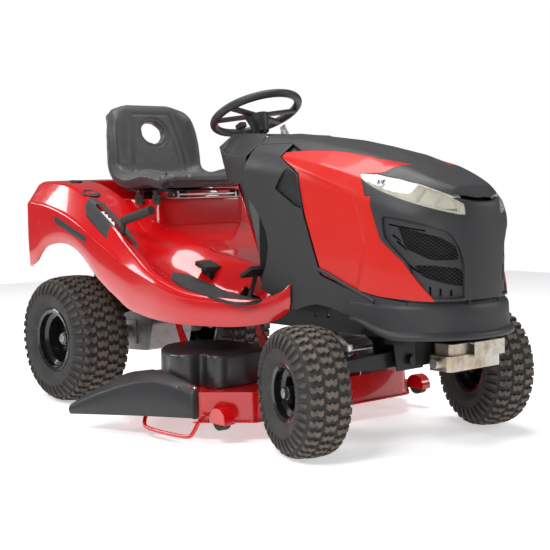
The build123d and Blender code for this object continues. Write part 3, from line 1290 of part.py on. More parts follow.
def centring(shapes):
    """Moves the origin to the ground under the middle of everything."""
    boxes = [s.bounding_box() for s in shapes]
    mid = [(
        min(tuple(b.min)[k] for b in boxes) + max(tuple(b.max)[k] for b in boxes)
    ) / 2 for k in (0, 1)]
    return Vector(-mid[0], -mid[1], 0)


PARTS = {name: as_compound(shape) for name, shape in build().items()}
SHIFT = centring(PARTS.values())

if __name__ == "__main__":
    os.makedirs("parts", exist_ok=True)
    for name, shape in PARTS.items():
        export_step(Pos(SHIFT.X, SHIFT.Y, 0) * shape, f"parts/{name}.step")
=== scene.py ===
"""Finished surfaces of a riding lawn mower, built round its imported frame.

Every size is in millimetres in the designer's frame: X to the operator's left, Y to the
rear from the front axle, Z up from the ground. at() turns it into the scene's metres.
"""

import json
import math

import bpy
from bpy.props import FloatProperty, FloatVectorProperty, PointerProperty
from mathutils import Matrix, Vector


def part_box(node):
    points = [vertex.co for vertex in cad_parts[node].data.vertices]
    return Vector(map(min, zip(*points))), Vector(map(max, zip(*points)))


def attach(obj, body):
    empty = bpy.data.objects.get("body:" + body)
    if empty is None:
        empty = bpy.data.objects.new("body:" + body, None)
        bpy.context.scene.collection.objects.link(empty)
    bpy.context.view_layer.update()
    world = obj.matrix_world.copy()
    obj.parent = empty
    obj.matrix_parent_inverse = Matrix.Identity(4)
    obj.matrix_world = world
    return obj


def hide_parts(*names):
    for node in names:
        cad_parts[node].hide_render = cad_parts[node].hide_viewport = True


bl_info = {
    "name": "Riding Lawn Mower",
    "version": (1, 0, 0),
    "blender": (4, 5, 0),
    "location": "View3D > Sidebar > Mower",
    "description": "Models the covers, tyres, seat and finishes of a riding lawn mower",
    "category": "Object",
}

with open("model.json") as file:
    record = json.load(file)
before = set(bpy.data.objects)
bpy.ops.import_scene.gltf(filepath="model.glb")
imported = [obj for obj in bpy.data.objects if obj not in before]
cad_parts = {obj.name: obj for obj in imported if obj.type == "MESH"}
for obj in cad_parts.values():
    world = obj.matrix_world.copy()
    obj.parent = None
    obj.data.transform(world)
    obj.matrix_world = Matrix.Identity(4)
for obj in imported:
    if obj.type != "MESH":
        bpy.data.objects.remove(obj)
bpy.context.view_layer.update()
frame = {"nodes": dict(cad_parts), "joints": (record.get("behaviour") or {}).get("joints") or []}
MM = 0.001
PIVOT = next(j for j in frame["joints"] if j["name"] == "front_axle_swing")["pos_m"]


def at(x, y, z):
    """A point of the design frame, in metres in the scene."""
    return Vector((PIVOT[0] + x * MM, PIVOT[1] + y * MM, z * MM))


def design_box(node):
    """A frame piece's lowest and highest corners, in design millimetres."""
    low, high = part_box(node)
    shift = Vector((PIVOT[0], PIVOT[1], 0))
    return (low - shift) / MM, (high - shift) / MM


# ------------------------------------------------------------------ lines
def blend(x, pairs):
    """Straight interpolation in a list of (place, value)."""
    if x <= pairs[0][0]:
        return pairs[0][1]
    for (x0, v0), (x1, v1) in zip(pairs, pairs[1:]):
        if x <= x1:
            return v0 + (v1 - v0) * (x - x0) / (x1 - x0)
    return pairs[-1][1]


def ease(x, low, high):
    """0 below low, 1 above high, and a smooth step between."""
    t = min(1.0, max(0.0, (x - low) / (high - low)))
    return t * t * (3 - 2 * t)


def flow(points, steps=6):
    """A smooth line through all the points."""
    out = []
    n = len(points)
    for k in range(n - 1):
        p0, p1, p2, p3 = (points[max(0, k - 1)], points[k], points[k + 1], points[min(n - 1, k + 2)])
        for s in range(steps):
            t = s / steps
            out.append(tuple(
                0.5 * (
                    2 * b + (c - a) * t + (2 * a - 5 * b + 4 * c - d) * t * t + (3 * b - a - 3 * c + d) * t ** 3
                )
                for a, b, c, d in zip(p0, p1, p2, p3)
            ))
    out.append(tuple(points[-1]))
    return out


def soften(corners, cut, arc=4):
    """A line whose inner corners are rounded off, each with its own cut length."""
    out = [tuple(corners[0])]
    for k in range(1, len(corners) - 1):
        before, here, after = (Vector(corners[j]) for j in (k - 1, k, k + 1))
        a, b = before - here, after - here
        reach = min(cut[k - 1], 0.45 * a.length, 0.45 * b.length)
        start, end = here + a.normalized() * reach, here + b.normalized() * reach
        for s in range(arc + 1):
            t = s / arc
            out.append(tuple(start * (1 - t) ** 2 + here * 2 * t * (1 - t) + end * t * t))
    out.append(tuple(corners[-1]))
    return out


def rounded(corners, radius, arc=5):
    """A closed outline with every corner rounded."""
    n = len(corners)
    out = []
    for k in range(n):
        before, here, after = (Vector(corners[j % n]) for j in (k - 1, k, k + 1))
        a, b = before - here, after - here
        reach = min(radius, 0.45 * a.length, 0.45 * b.length)
        start, end = here + a.normalized() * reach, here + b.normalized() * reach
        for s in range(arc + 1):
            t = s / arc
            out.append(tuple(start * (1 - t) ** 2 + here * 2 * t * (1 - t) + end * t * t))
    return out


# ------------------------------------------------------------------ modelling steps
def deselect():
    if bpy.context.object and bpy.context.object.mode != "OBJECT":
        bpy.ops.object.mode_set(mode="OBJECT")
    bpy.ops.object.select_all(action="DESELECT")


def pick(*objs):
    deselect()
    for o in objs:
        o.select_set(True)
    bpy.context.view_layer.objects.active = objs[-1]


def modify(obj, kind, **settings):
    """Adds one modifier and applies it."""
    m = obj.modifiers.new(kind.title(), kind)
    for key, value in settings.items():
        setattr(m, key, value)
    pick(obj)
    bpy.ops.object.modifier_apply(modifier=m.name)
    return obj


def in_edit(obj, *steps):
    """Runs mesh operators on the whole mesh, one after another."""
    pick(obj)
    bpy.ops.object.mode_set(mode="EDIT")
    bpy.ops.mesh.select_all(action="SELECT")
    for step in steps:
        step()
    bpy.ops.object.mode_set(mode="OBJECT")
    return obj


def tidy_mesh(obj):
    """Merges doubled points and turns every face outwards."""
    return in_edit(
        obj,
        lambda: bpy.ops.mesh.remove_doubles(threshold=0.00002),
        lambda: bpy.ops.mesh.normals_make_consistent(inside=False),
    )


def soft_edges(obj, width, segments=3, angle=35):
    return modify(
        obj, "BEVEL", width=width * MM, segments=segments, limit_method="ANGLE",
        angle_limit=math.radians(angle), harden_normals=False,
    )


def across(axis):
    """How an outline's two numbers and the depth are placed for a slab along that axis."""
    return {
        "x": lambda a, b, c: at(c, a, b),
        "y": lambda a, b, c: at(a, c, b),
        "z": lambda a, b, c: at(a, b, c),
    }[axis]


def slab(name, outline, axis, low, high, edge=0.0, segments=3, angle=30):
    """A plate of that outline, pulled out along one axis, with its edges rounded."""
    deselect()
    bpy.ops.mesh.primitive_circle_add(vertices=len(outline), radius=1, fill_type="NGON")
    obj = bpy.context.object
    obj.name = name
    place = across(axis)
    for v, (a, b) in zip(obj.data.vertices, outline):
        v.co = place(a, b, low)
    pull = place(0, 0, high) - place(0, 0, low)
    in_edit(
        obj,
        lambda: bpy.ops.mesh.extrude_region_move(TRANSFORM_OT_translate={"value": pull}),
        lambda: bpy.ops.mesh.select_all(action="SELECT"),
        lambda: bpy.ops.mesh.normals_make_consistent(inside=False),
    )
    if edge:
        soft_edges(obj, edge, segments, angle)
    return obj


def brick(name, low, high, edge=1.5, segments=2):
    """A block between two corners with rounded edges."""
    (x0, y0, z0), (x1, y1, z1) = low, high
    return slab(name, [(x0, y0), (x1, y0), (x1, y1), (x0, y1)], "z", z0, z1, edge, segments)


def turned(name, profile, centre, axis, steps=64):
    """A closed outline of (along the axis, radius) spun round that axis."""
    deselect()
    bpy.ops.mesh.primitive_circle_add(vertices=len(profile), radius=1, fill_type="NOTHING")
    obj = bpy.context.object
    obj.name = name
    axis = Vector(axis).normalized()
    side = axis.orthogonal().normalized()
    for v, (along, radius) in zip(obj.data.vertices, profile):
        v.co = centre + (axis * along + side * radius) * MM
    in_edit(obj, lambda: bpy.ops.mesh.spin(steps=steps, angle=2 * math.pi, center=centre, axis=axis))
    return tidy_mesh(obj)


def surface(name, columns, rows, place):
    """A grid laid on place(u, v), both from 0 to 1."""
    deselect()
    bpy.ops.mesh.primitive_grid_add(x_subdivisions=columns, y_subdivisions=rows, size=2)
    obj = bpy.context.object
    obj.name = name
    for v in obj.data.vertices:
        v.co = place((v.co.x + 1) / 2, (v.co.y + 1) / 2)
    return obj


def swept(name, path, section, closed=False):
    """A closed section carried along a path. section(k) gives points for step k."""
    rings = [section(k) for k in range(len(path))]
    count, around = len(rings), len(rings[0])
    obj = surface(
        name, count - 1, around,
        lambda u, v: rings[round(u * (count - 1))][round(v * around) % around],
    )
    tidy_mesh(obj)
    if not closed:
        pick(obj)
        bpy.ops.object.mode_set(mode="EDIT")
        bpy.ops.mesh.select_all(action="DESELECT")
        bpy.ops.mesh.select_non_manifold()
        bpy.ops.mesh.fill_holes(sides=0)
        bpy.ops.mesh.select_all(action="SELECT")
        bpy.ops.mesh.normals_make_consistent(inside=False)
        bpy.ops.object.mode_set(mode="OBJECT")
    return obj


def rod(name, points, radius, smooth=False, sides=6):
    """A round bar along the points, given in scene metres."""
    curve = bpy.data.curves.new(name, "CURVE")
    curve.dimensions = "3D"
    curve.bevel_depth = radius * MM
    curve.bevel_resolution = sides
    curve.use_fill_caps = True
    spline = curve.splines.new("NURBS" if smooth else "POLY")
    spline.points.add(len(points) - 1)
    for p, q in zip(spline.points, points):
        p.co = (*q, 1)
    if smooth:
        spline.order_u = 3
        spline.use_endpoint_u = True
        curve.resolution_u = 8
    obj = bpy.data.objects.new(name, curve)
    bpy.context.scene.collection.objects.link(obj)
    pick(obj)
    bpy.ops.object.convert(target="MESH")
    obj = bpy.context.object
    obj.name = name
    return tidy_mesh(obj)


def copied(obj, name, place=None):
    """A copy with a mesh of its own, moved by a matrix."""
    other = obj.copy()
    other.data = obj.data.copy()
    other.name = name
    bpy.context.scene.collection.objects.link(other)
    if place is not None:
        other.data.transform(place)
        if place.determinant() < 0:
            other.data.flip_normals()
    return other


def reflection():
    """Matrix that swaps the machine's two sides."""
    centre = Matrix.Translation((PIVOT[0], 0, 0))
    return centre @ Matrix.Diagonal((-1, 1, 1, 1)) @ centre.inverted()


def joined(name, *objs):
    pick(*objs)
    if len(objs) > 1:
        bpy.ops.object.join()
    obj = bpy.context.object
    obj.name = name
    return obj


def both_sides(obj):
    """The piece together with its mirror image, as one object."""
    return joined(obj.name, copied(obj, obj.name + "_other", reflection()), obj)


def carve(obj, *cutters, operation="DIFFERENCE"):
    """Cuts obj with each cutter, and uses the cutters up."""
    for cutter in cutters:
        modify(obj, "BOOLEAN", operation=operation, object=cutter, solver="EXACT")
        bpy.data.objects.remove(cutter)
    return obj


def swollen(obj, name, by):
    """A copy of a cutter that is larger all round, for the gap beside a cover."""
    return modify(copied(obj, name), "DISPLACE", strength=by * MM, mid_level=0)


def done(obj, body, finish, replaces=(), angle=40):
    """Shades a finished piece, gives it its finish and ties it to its body."""
    pick(obj)
    bpy.ops.object.shade_smooth_by_angle(angle=math.radians(angle))
    obj.data.materials.clear()
    obj.data.materials.append(finish)
    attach(obj, body)
    if replaces:
        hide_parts(*replaces)
    return obj


# ------------------------------------------------------------------ finishes
class Finish:
    """A surface finish put together from nodes that read the piece's own coordinates."""

    def __init__(self, name, colour, roughness, **shader):
        self.material = bpy.data.materials.new(name)
        self.material.use_nodes = True
        self.nodes, self.links = self.material.node_tree.nodes, self.material.node_tree.links
        self.shader = self.nodes["Principled BSDF"]
        self.shader.inputs["Base Color"].default_value = (*colour, 1)
        self.shader.inputs["Roughness"].default_value = roughness
        for key, value in shader.items():
            self.shader.inputs[key.replace("_", " ")].default_value = value
        self.place = self.nodes.new("ShaderNodeTexCoord").outputs["Object"]
        self.colour, self.rough, self.normal = colour, roughness, None
        self.colour_from = self.rough_from = None

    def node(self, kind, **inputs):
        n = self.nodes.new("ShaderNode" + kind)
        for key, value in inputs.items():
            socket = n.inputs[key.replace("_", " ")] if isinstance(key, str) else n.inputs[key]
            if hasattr(value, "is_linked") or isinstance(value, bpy.types.NodeSocket):
                self.links.new(value, socket)
            else:
                socket.default_value = value
        return n

    def noise(self, size, detail=4.0, rough=0.55, stretch=None):
        """Cloudy pattern whose features are about size millimetres."""
        where = self.place
        if stretch:
            mapping = self.node("Mapping", Vector=where, Scale=stretch)
            where = mapping.outputs["Vector"]
        return self.node(
            "TexNoise", Vector=where, Scale=1 / (size * MM), Detail=detail, Roughness=rough,
        ).outputs["Fac"]

    def cells(self, size, feature="F1"):
        n = self.node("TexVoronoi", Vector=self.place, Scale=1 / (size * MM))
        n.feature = feature
        return n

    def ramp(self, fac, low, high, out_low=0.0, out_high=1.0):
        n = self.node("MapRange", Value=fac)
        n.inputs["From Min"].default_value, n.inputs["From Max"].default_value = low, high
        n.inputs["To Min"].default_value, n.inputs["To Max"].default_value = out_low, out_high
        return n.outputs["Result"]

    def tint(self, fac, colour):
        """Mixes another colour in where fac is high."""
        n = self.nodes.new("ShaderNodeMix")
        n.data_type = "RGBA"
        self.links.new(fac, n.inputs["Factor"])
        if self.colour_from is None:
            n.inputs[6].default_value = (*self.colour, 1)
        else:
            self.links.new(self.colour_from, n.inputs[6])
        n.inputs[7].default_value = (*colour, 1)
        self.colour_from = n.outputs[2]
        self.links.new(self.colour_from, self.shader.inputs["Base Color"])
        return self

    def gloss(self, fac, change):
        """Adds change to the roughness where fac is high."""
        base = self.rough if self.rough_from is None else self.rough_from
        n = self.nodes.new("ShaderNodeMath")
        n.operation = "MULTIPLY_ADD"
        self.links.new(fac, n.inputs[0])
        n.inputs[1].default_value = change
        if self.rough_from is None:
            n.inputs[2].default_value = base
        else:
            self.links.new(base, n.inputs[2])
        self.rough_from = n.outputs[0]
        self.links.new(self.rough_from, self.shader.inputs["Roughness"])
        return self

    def relief(self, height, depth, strength=1.0):
        """Bumps the surface by depth millimetres."""
        n = self.node("Bump", Height=height, Distance=depth * MM, Strength=strength)
        if self.normal is not None:
            self.links.new(self.normal, n.inputs["Normal"])
        self.normal = n.outputs["Normal"]
        self.links.new(self.normal, self.shader.inputs["Normal"])
        return self

    def edges(self, radius):
        """Rounds the look of sharp edges."""
        n = self.node("Bevel", Radius=radius * MM)
        n.samples = 4
        self.normal = n.outputs["Normal"]
        self.links.new(self.normal, self.shader.inputs["Normal"])
        return self


def lacquer(name, colour, roughness=0.22, coat=1.0, peel=0.02):
    """Glossy paint: faint orange peel, slow colour drift and a little dust."""
    f = Finish(name, colour, roughness, Coat_Weight=coat, Coat_Roughness=0.05, Specular_IOR_Level=0.25)
    f.edges(2.2)
    f.relief(f.noise(3.2, 2), peel)
    f.tint(f.ramp(f.noise(260, 3), 0.35, 0.75, 0, 0.22), tuple(c * 0.78 for c in colour))
    f.gloss(f.ramp(f.noise(45, 6), 0.45, 0.8), 0.10)
    f.tint(f.ramp(f.noise(1.6, 8, 0.8), 0.66, 0.86, 0, 0.02), (0.55, 0.5, 0.46))
    return f.material


def moulded(name, colour, roughness=0.5, grain=0.05, size=1.1, edge=2.0, coat=0.0):
    """Moulded plastic with a fine leathery grain."""
    f = Finish(name, colour, roughness, Specular_IOR_Level=0.45, Coat_Weight=coat, Coat_Roughness=0.3)
    f.edges(edge)
    f.relief(f.cells(size, "SMOOTH_F1").outputs["Distance"], grain, 0.6)
    f.relief(f.noise(0.7, 3), grain * 0.5, 0.6)
    f.tint(f.ramp(f.noise(120, 5), 0.4, 0.75, 0, 0.35), tuple(c * 1.25 + 0.004 for c in colour))
    f.gloss(f.ramp(f.noise(60, 5), 0.4, 0.8), 0.12)
    f.tint(f.ramp(f.noise(2.5, 7, 0.8), 0.64, 0.86, 0, 0.05), (0.3, 0.28, 0.25))
    return f.material


def metal(
    name, colour, roughness=0.35, brushed=None, spangle=0.0, dirt=(0.12, 0.09, 0.07), soiling=0.35, metallic=1.0,
):
    """Bare or plated metal, with brushing or spangles and soiling in patches."""
    f = Finish(name, colour, roughness, Metallic=metallic)
    f.edges(1.2)
    if brushed:
        lines = f.noise(2.0, 3, 0.6, stretch=brushed)
        f.relief(lines, 0.03, 0.5)
        f.gloss(f.ramp(lines, 0.3, 0.7), 0.16)
    if spangle:
        cells = f.cells(spangle)
        f.tint(f.ramp(cells.outputs["Color"], 0.1, 0.9, 0, 0.5), tuple(c * 0.62 for c in colour))
        f.gloss(f.ramp(cells.outputs["Color"], 0, 1), 0.18)
    f.relief(f.noise(1.4, 5), 0.03, 0.5)
    f.gloss(f.ramp(f.noise(28, 6), 0.4, 0.8), 0.22)
    f.tint(f.ramp(f.noise(36, 8, 0.65), 0.52, 0.78, 0, soiling), dirt)
    return f.material


def rubber(name, colour, dust, roughness=0.75, amount=0.6):
    """Rubber with pale dust in patches and a fine pebbled skin."""
    f = Finish(name, colour, roughness, Specular_IOR_Level=0.3)
    f.edges(1.5)
    f.relief(f.noise(1.3, 6, 0.6), 0.12, 0.6)
    f.tint(f.ramp(f.noise(22, 8, 0.7), 0.38, 0.68, 0, amount), dust)
    f.tint(f.ramp(f.noise(3.0, 6, 0.75), 0.6, 0.8, 0, 0.4), tuple(c * 1.6 for c in dust))
    f.gloss(f.ramp(f.noise(30, 5), 0.35, 0.75), 0.18)
    return f.material


def tyre_rubber():
    """Tread tops scuffed brown and dusty, the grooves and sidewall darker."""
    f = Finish("tyre rubber", (0.03, 0.029, 0.028), 0.66, Specular_IOR_Level=0.35)
    f.edges(1.6)
    f.relief(f.noise(1.6, 7, 0.65), 0.2, 0.7)
    f.relief(f.noise(14, 4), 0.5, 0.35)
    top = f.nodes.new("ShaderNodeAttribute")
    top.attribute_name = "tread_top"
    scuffed = f.nodes.new("ShaderNodeMath")
    scuffed.operation = "MULTIPLY"
    f.links.new(top.outputs["Fac"], scuffed.inputs[0])
    f.links.new(f.ramp(f.noise(20, 8, 0.7), 0.25, 0.7, 0.35, 1.0), scuffed.inputs[1])
    f.tint(scuffed.outputs[0], (0.15, 0.122, 0.098))
    f.tint(f.ramp(f.noise(60, 6, 0.6), 0.45, 0.75, 0, 0.35), (0.085, 0.078, 0.07))
    f.tint(f.ramp(f.noise(2.2, 7, 0.8), 0.6, 0.82, 0, 0.35), (0.24, 0.2, 0.165))
    f.gloss(f.ramp(f.noise(24, 6), 0.35, 0.75), 0.2)
    return f.material


def vinyl():
    """Dark seat vinyl with a pebbled leather grain and polished patches."""
    f = Finish(
        "seat vinyl", (0.026, 0.0265, 0.0285), 0.42, Specular_IOR_Level=0.5, Sheen_Weight=0.15,
        Sheen_Roughness=0.5,
    )
    f.relief(f.cells(2.1, "SMOOTH_F1").outputs["Distance"], 0.22, 0.7)
    f.relief(f.noise(0.8, 4), 0.06, 0.5)
    f.relief(f.noise(70, 3), 1.6, 0.25)
    f.tint(f.ramp(f.noise(90, 5), 0.4, 0.75, 0, 0.4), (0.038, 0.039, 0.042))
    f.gloss(f.ramp(f.noise(40, 5), 0.35, 0.75), 0.16)
    f.tint(f.ramp(f.noise(3, 7, 0.8), 0.66, 0.86, 0, 0.12), (0.25, 0.24, 0.23))
    return f.material


def heated_steel():
    """Stainless sheet with straw and brown heat stains in patches."""
    f = Finish("heat stained steel", (0.56, 0.54, 0.5), 0.3, Metallic=1.0)
    f.edges(1.5)
    brushed = f.noise(2.0, 3, 0.6, stretch=(1, 1, 24))
    f.relief(brushed, 0.03, 0.5)
    f.gloss(f.ramp(brushed, 0.3, 0.7), 0.18)
    f.tint(f.ramp(f.noise(70, 5, 0.6), 0.42, 0.62, 0, 0.75), (0.42, 0.31, 0.19))
    f.tint(f.ramp(f.noise(55, 6, 0.6), 0.52, 0.72, 0, 0.8), (0.2, 0.125, 0.085))
    f.tint(f.ramp(f.noise(12, 8, 0.7), 0.6, 0.8, 0, 0.4), (0.08, 0.06, 0.05))
    return f.material


def clear_cover():
    """Clear headlight cover with a faint yellow haze."""
    f = Finish("lamp cover", (0.93, 0.92, 0.86), 0.04, Transmission_Weight=0.85, IOR=1.4, Coat_Weight=0.5)
    f.relief(f.noise(30, 2), 0.15, 0.3)
    f.tint(f.ramp(f.noise(14, 6), 0.5, 0.8, 0, 0.25), (0.75, 0.73, 0.64))
    f.gloss(f.ramp(f.noise(8, 5), 0.55, 0.8), 0.1)
    return f.material


def ribbed_mat():
    """Rubber mat with fine ribs running along the foot."""
    f = Finish("foot mat rubber", (0.02, 0.02, 0.021), 0.62, Specular_IOR_Level=0.4)
    wave = f.node("TexWave", Vector=f.place, Scale=62.0, Distortion=0.0)
    wave.bands_direction = "X"
    f.relief(wave.outputs["Fac"], 1.6, 0.8)
    f.tint(f.ramp(f.noise(26, 7, 0.7), 0.42, 0.75, 0, 0.5), (0.07, 0.065, 0.06))
    f.tint(f.ramp(f.noise(2.4, 7, 0.8), 0.62, 0.84, 0, 0.35), (0.2, 0.18, 0.16))
    f.gloss(f.ramp(f.noise(20, 5), 0.35, 0.75), 0.18)
    return f.material


def milky_plastic():
    """Cloudy plastic of the fuel tank."""
    f = Finish("fuel tank plastic", (0.62, 0.6, 0.53), 0.4, Subsurface_Weight=0.3, Specular_IOR_Level=0.4)
    f.edges(3)
    f.relief(f.noise(1.2, 4), 0.04, 0.5)
    f.tint(f.ramp(f.noise(90, 5), 0.4, 0.75, 0, 0.5), (0.5, 0.46, 0.36))
    f.gloss(f.ramp(f.noise(30, 5), 0.4, 0.8), 0.2)
    return f.material


def make_finishes(colours):
    red, hood_red, dark = tuple(colours.body_red), tuple(colours.hood_red), tuple(colours.plastic)
    return {
        "red_body": lacquer("red moulded body", red, 0.2),
        "red_gloss": lacquer("red deck paint", red, 0.24, peel=0.05),
        "red_plastic": lacquer("red hood plastic", hood_red, 0.36, coat=0.25, peel=0.03),
        "dark_plastic": moulded("anthracite plastic", dark, 0.47),
        "dark_gloss": moulded("dark belt cover plastic", (0.022, 0.022, 0.024), 0.3, 0.03, 1.4, 3.5, 0.2),
        "black_paint": lacquer("black chassis paint", (0.012, 0.012, 0.013), 0.42, coat=0.1, peel=0.06),
        "black_gloss": lacquer("black wheel paint", (0.008, 0.008, 0.009), 0.25, coat=0.6, peel=0.04),
        "pedestal": moulded("grey pedestal plastic", (0.075, 0.08, 0.078), 0.52),
        "zinc": metal("zinc plating", (0.6, 0.6, 0.6), 0.34, spangle=3.0),
        "galvanised": metal("galvanised sheet", (0.66, 0.67, 0.68), 0.38, spangle=14.0, soiling=0.2),
        "cast_aluminium": metal("cast aluminium", (0.45, 0.45, 0.44), 0.5, soiling=0.5),
        "cap_metal": metal("dull silver cap", (0.3, 0.3, 0.31), 0.42, soiling=0.4),
        "chrome": metal("bright plating", (0.75, 0.75, 0.75), 0.12, brushed=(1, 20, 20), soiling=0.1),
        "blade_steel": metal("blade steel", (0.42, 0.42, 0.43), 0.36, brushed=(1, 24, 24), soiling=0.5),
        "stainless": heated_steel(),
        "muffler_top": metal("sooted steel", (0.16, 0.14, 0.13), 0.5, soiling=0.7),
        "belt_rubber": rubber("belt rubber", (0.02, 0.02, 0.02), (0.06, 0.058, 0.055), 0.7, 0.4),
        "hard_rubber": rubber("pedal rubber", (0.018, 0.018, 0.018), (0.06, 0.055, 0.05), 0.6, 0.35),
        "battery_plastic": moulded("battery case plastic", (0.015, 0.015, 0.016), 0.45),
        "tank_plastic": milky_plastic(),
        "tyre_rubber": tyre_rubber(),
        "seat_vinyl": vinyl(),
        "lens": clear_cover(),
        "reflector": moulded("ivory reflector", (0.72, 0.7, 0.58), 0.25, 0.02, 2.0, 2.0, 0.6),
        "mat": ribbed_mat(),
        "mesh_black": moulded("black mesh plastic", (0.03, 0.031, 0.034), 0.36, 0.02, 1.0, 0.8),
        # painted shade: a near-black finish for the sheets set inside the hood and behind the grille, standing in
        # for the shade in there
        "painted_shade": rubber("dark inside", (0.006, 0.006, 0.006), (0.01, 0.01, 0.01), 0.9, 0.3),
    }


FINISHES = {}


# ------------------------------------------------------------------ hood and front covers
HOOD_W, HOOD_BOTTOM, NOSE_START, NOSE_REACH = 234, 404, -80, 260
SHOULDER = [(-341, 694), (-245, 716), (-170, 738), (-60, 776), (120, 820), (300, 850), (432, 866), (648, 880)]
CROWN = [
    (-341, 722), (-322, 738), (-280, 772), (-131, 833), (-12, 870), (120, 898), (245, 921), (432, 942),
    (648, 950),
]
TOP_SHARE = [(-341, 0.6), (-60, 0.54), (300, 0.56), (432, 0.6), (648, 0.66)]
RED_SIDE = [
    (-286, 452), (-150, 463), (-13, 484), (90, 516), (160, 690), (191, 812), (285, 862), (293, 905), (293, 1000),
    (-400, 1000), (-400, 800), (-100, 789), (-112, 720), (-150, 622), (-215, 564),
]
SPINE_PLAN = [
    (-194, 296), (-166, 204), (-140, 78), (-124, -50), (-79, -133), (-129, -125), (-164, -104), (-196, -38),
    (-214, -63), (-244, -113), (-260, -420), (0, -420), (0, 296),
]
LAMP_SIDE = [
    (-36, 809), (-85, 805), (-161, 790), (-218, 775), (-273, 754), (-310, 729), (-338, 704), (-352, 690),
    (-323, 690), (-295, 701), (-256, 715), (-205, 732), (-113, 765), (-63, 788),
]
RECESS_SIDE = [
    (-152, 690), (-200, 684), (-262, 668), (-309, 646), (-322, 607), (-330, 538), (-331, 458), (-262, 462),
    (-226, 560), (-160, 630),
]
MESH_UPPER = [(-196, 660), (-214, 656), (-290, 630), (-312, 604), (-316, 566), (-276, 566), (-218, 600)]
MESH_LOWER = [(-236, 553), (-277, 552), (-318, 543), (-322, 492), (-296, 502), (-257, 521)]
VENT_SIDE = [(248, 828), (200, 812), (171, 704), (206, 716), (292, 766)]
FASCIA_SIDE = [
    (-225, 449), (-150, 460), (-13, 480.5), (93, 511.5), (164, 687), (195, 808.5), (293.2, 862), (294.2, 904.6),
    (430, 904.6),
    (430, 868), (452, 786), (430, 744), (369, 690), (334, 630), (326, 590), (338, 530), (362, 486), (366, 455),
    (262, 420), (212, 398), (190, 405), (150, 418), (110, 424), (60, 420), (10, 408), (-40, 396), (-150, 394),
    (-225, 430),
]


def hood_outline(turn):
    """Where the hood's side stands, seen from above. turn: 0 nose, 1 widest, 2 dash."""
    if turn <= 1:
        a = turn * math.pi / 2
        return -HOOD_W * math.sin(a) ** 0.952, NOSE_START - NOSE_REACH * math.cos(a) ** 0.833
    y = NOSE_START + (turn - 1) * 730
    return -(HOOD_W - blend(y, [(432, 0), (560, 26), (648, 60)])), y


def hood_section(turn, sink, end_y):
    """One rib of the hood from its lower edge to the centreline, seen from the right."""
    x, y = hood_outline(turn)
    if turn > 1:
        y = min(y, end_y)
    slope = hood_outline(min(2.0, turn + 0.01))
    before = hood_outline(max(0.0, turn - 0.01))
    along = Vector((slope[0] - before[0], slope[1] - before[1])).normalized()
    out = Vector((-along.y, along.x))
    if out.dot(Vector((x, y - 200))) < 0:
        out = -out
    x, y = x - out.x * sink, y - out.y * sink
    middle_y = NOSE_START - (NOSE_REACH - 20) * math.cos(turn * math.pi / 2) if turn <= 1 else y
    shoulder, crown = blend(y, SHOULDER) - sink, blend(middle_y, CROWN) - sink
    share = blend(y, TOP_SHARE)
    mid = (shoulder + HOOD_BOTTOM) / 2
    corners = [
        (1.0, HOOD_BOTTOM - 2), (1.012, mid), (1.0, shoulder - 24), (0.885, shoulder + 18),
        (share, crown - 7), (0, crown),
    ]
    line = soften([(r * 240, z) for r, z in corners], (120, 26, 7, 26))
    return [(x * r / 240, middle_y + (y - middle_y) * min(1.0, r / 240), z) for r, z in line]


def even(points, count):
    """The same line with its points spread evenly."""
    lengths = [0.0]
    for a, b in zip(points, points[1:]):
        lengths.append(lengths[-1] + math.dist(a, b))
    out, k = [], 0
    for s in range(count + 1):
        want = lengths[-1] * s / count
        while k < len(points) - 2 and lengths[k + 1] < want:
            k += 1
        t = (want - lengths[k]) / max(1e-9, lengths[k + 1] - lengths[k])
        out.append(tuple(a + (b - a) * t for a, b in zip(points[k], points[k + 1])))
    return out


def hood_skin(
    name, sink=0.0, wall=4.0, start=0.0, stop=1.7, columns=64, rows=60, dent=None, whole=False, floor=0,
):
    """The right half, or all, of the front skin, as a sheet of that thickness."""
    ribs = [even(hood_section(start + (stop - start) * k / columns, sink, 700), rows) for k in range(columns + 1)]

    def place(u, v):
        x, y, z = ribs[round(u * columns)][round(v * rows)]
        if dent:
            x += dent(y, z)
        return at(x, y, max(z, floor))

    obj = surface(name, columns, rows, place)
    tidy_mesh(obj)
    if whole:
        obj = both_sides(obj)
        tidy_mesh(obj)
    outward(obj)
    return modify(obj, "SOLIDIFY", thickness=wall * MM, offset=-1)


def outward(obj):
    """Turns an open skin so that its face at the greatest height looks up."""
    top = max(obj.data.polygons, key=lambda p: p.center.z)
    if top.normal.z < 0:
        in_edit(obj, lambda: bpy.ops.mesh.flip_normals())
    return obj


def pressed_groove(y, z):
    """The red side's inner field lies a little lower than its border."""
    line_top = blend(y, [(-80, 742), (-45, 752), (126, 806), (300, 860)])
    line_front = blend(z, [(470, -62), (607, -96), (691, -72), (752, -44)])
    depth = ease(line_top - z, -1, 9) * ease(y - line_front, -1, 9)
    return 3.4 * depth


def red_zone(name):
    zone = slab(name, RED_SIDE, "x", -420, -66)
    spine = slab("spine_zone", SPINE_PLAN, "z", 744, 1100)
    lamp = slab("lamp_zone", LAMP_SIDE, "x", -420, -60)
    return carve(zone, spine, lamp)


def lamp_zone(name, inner=76):
    return slab(name, LAMP_SIDE, "x", -420, -inner)


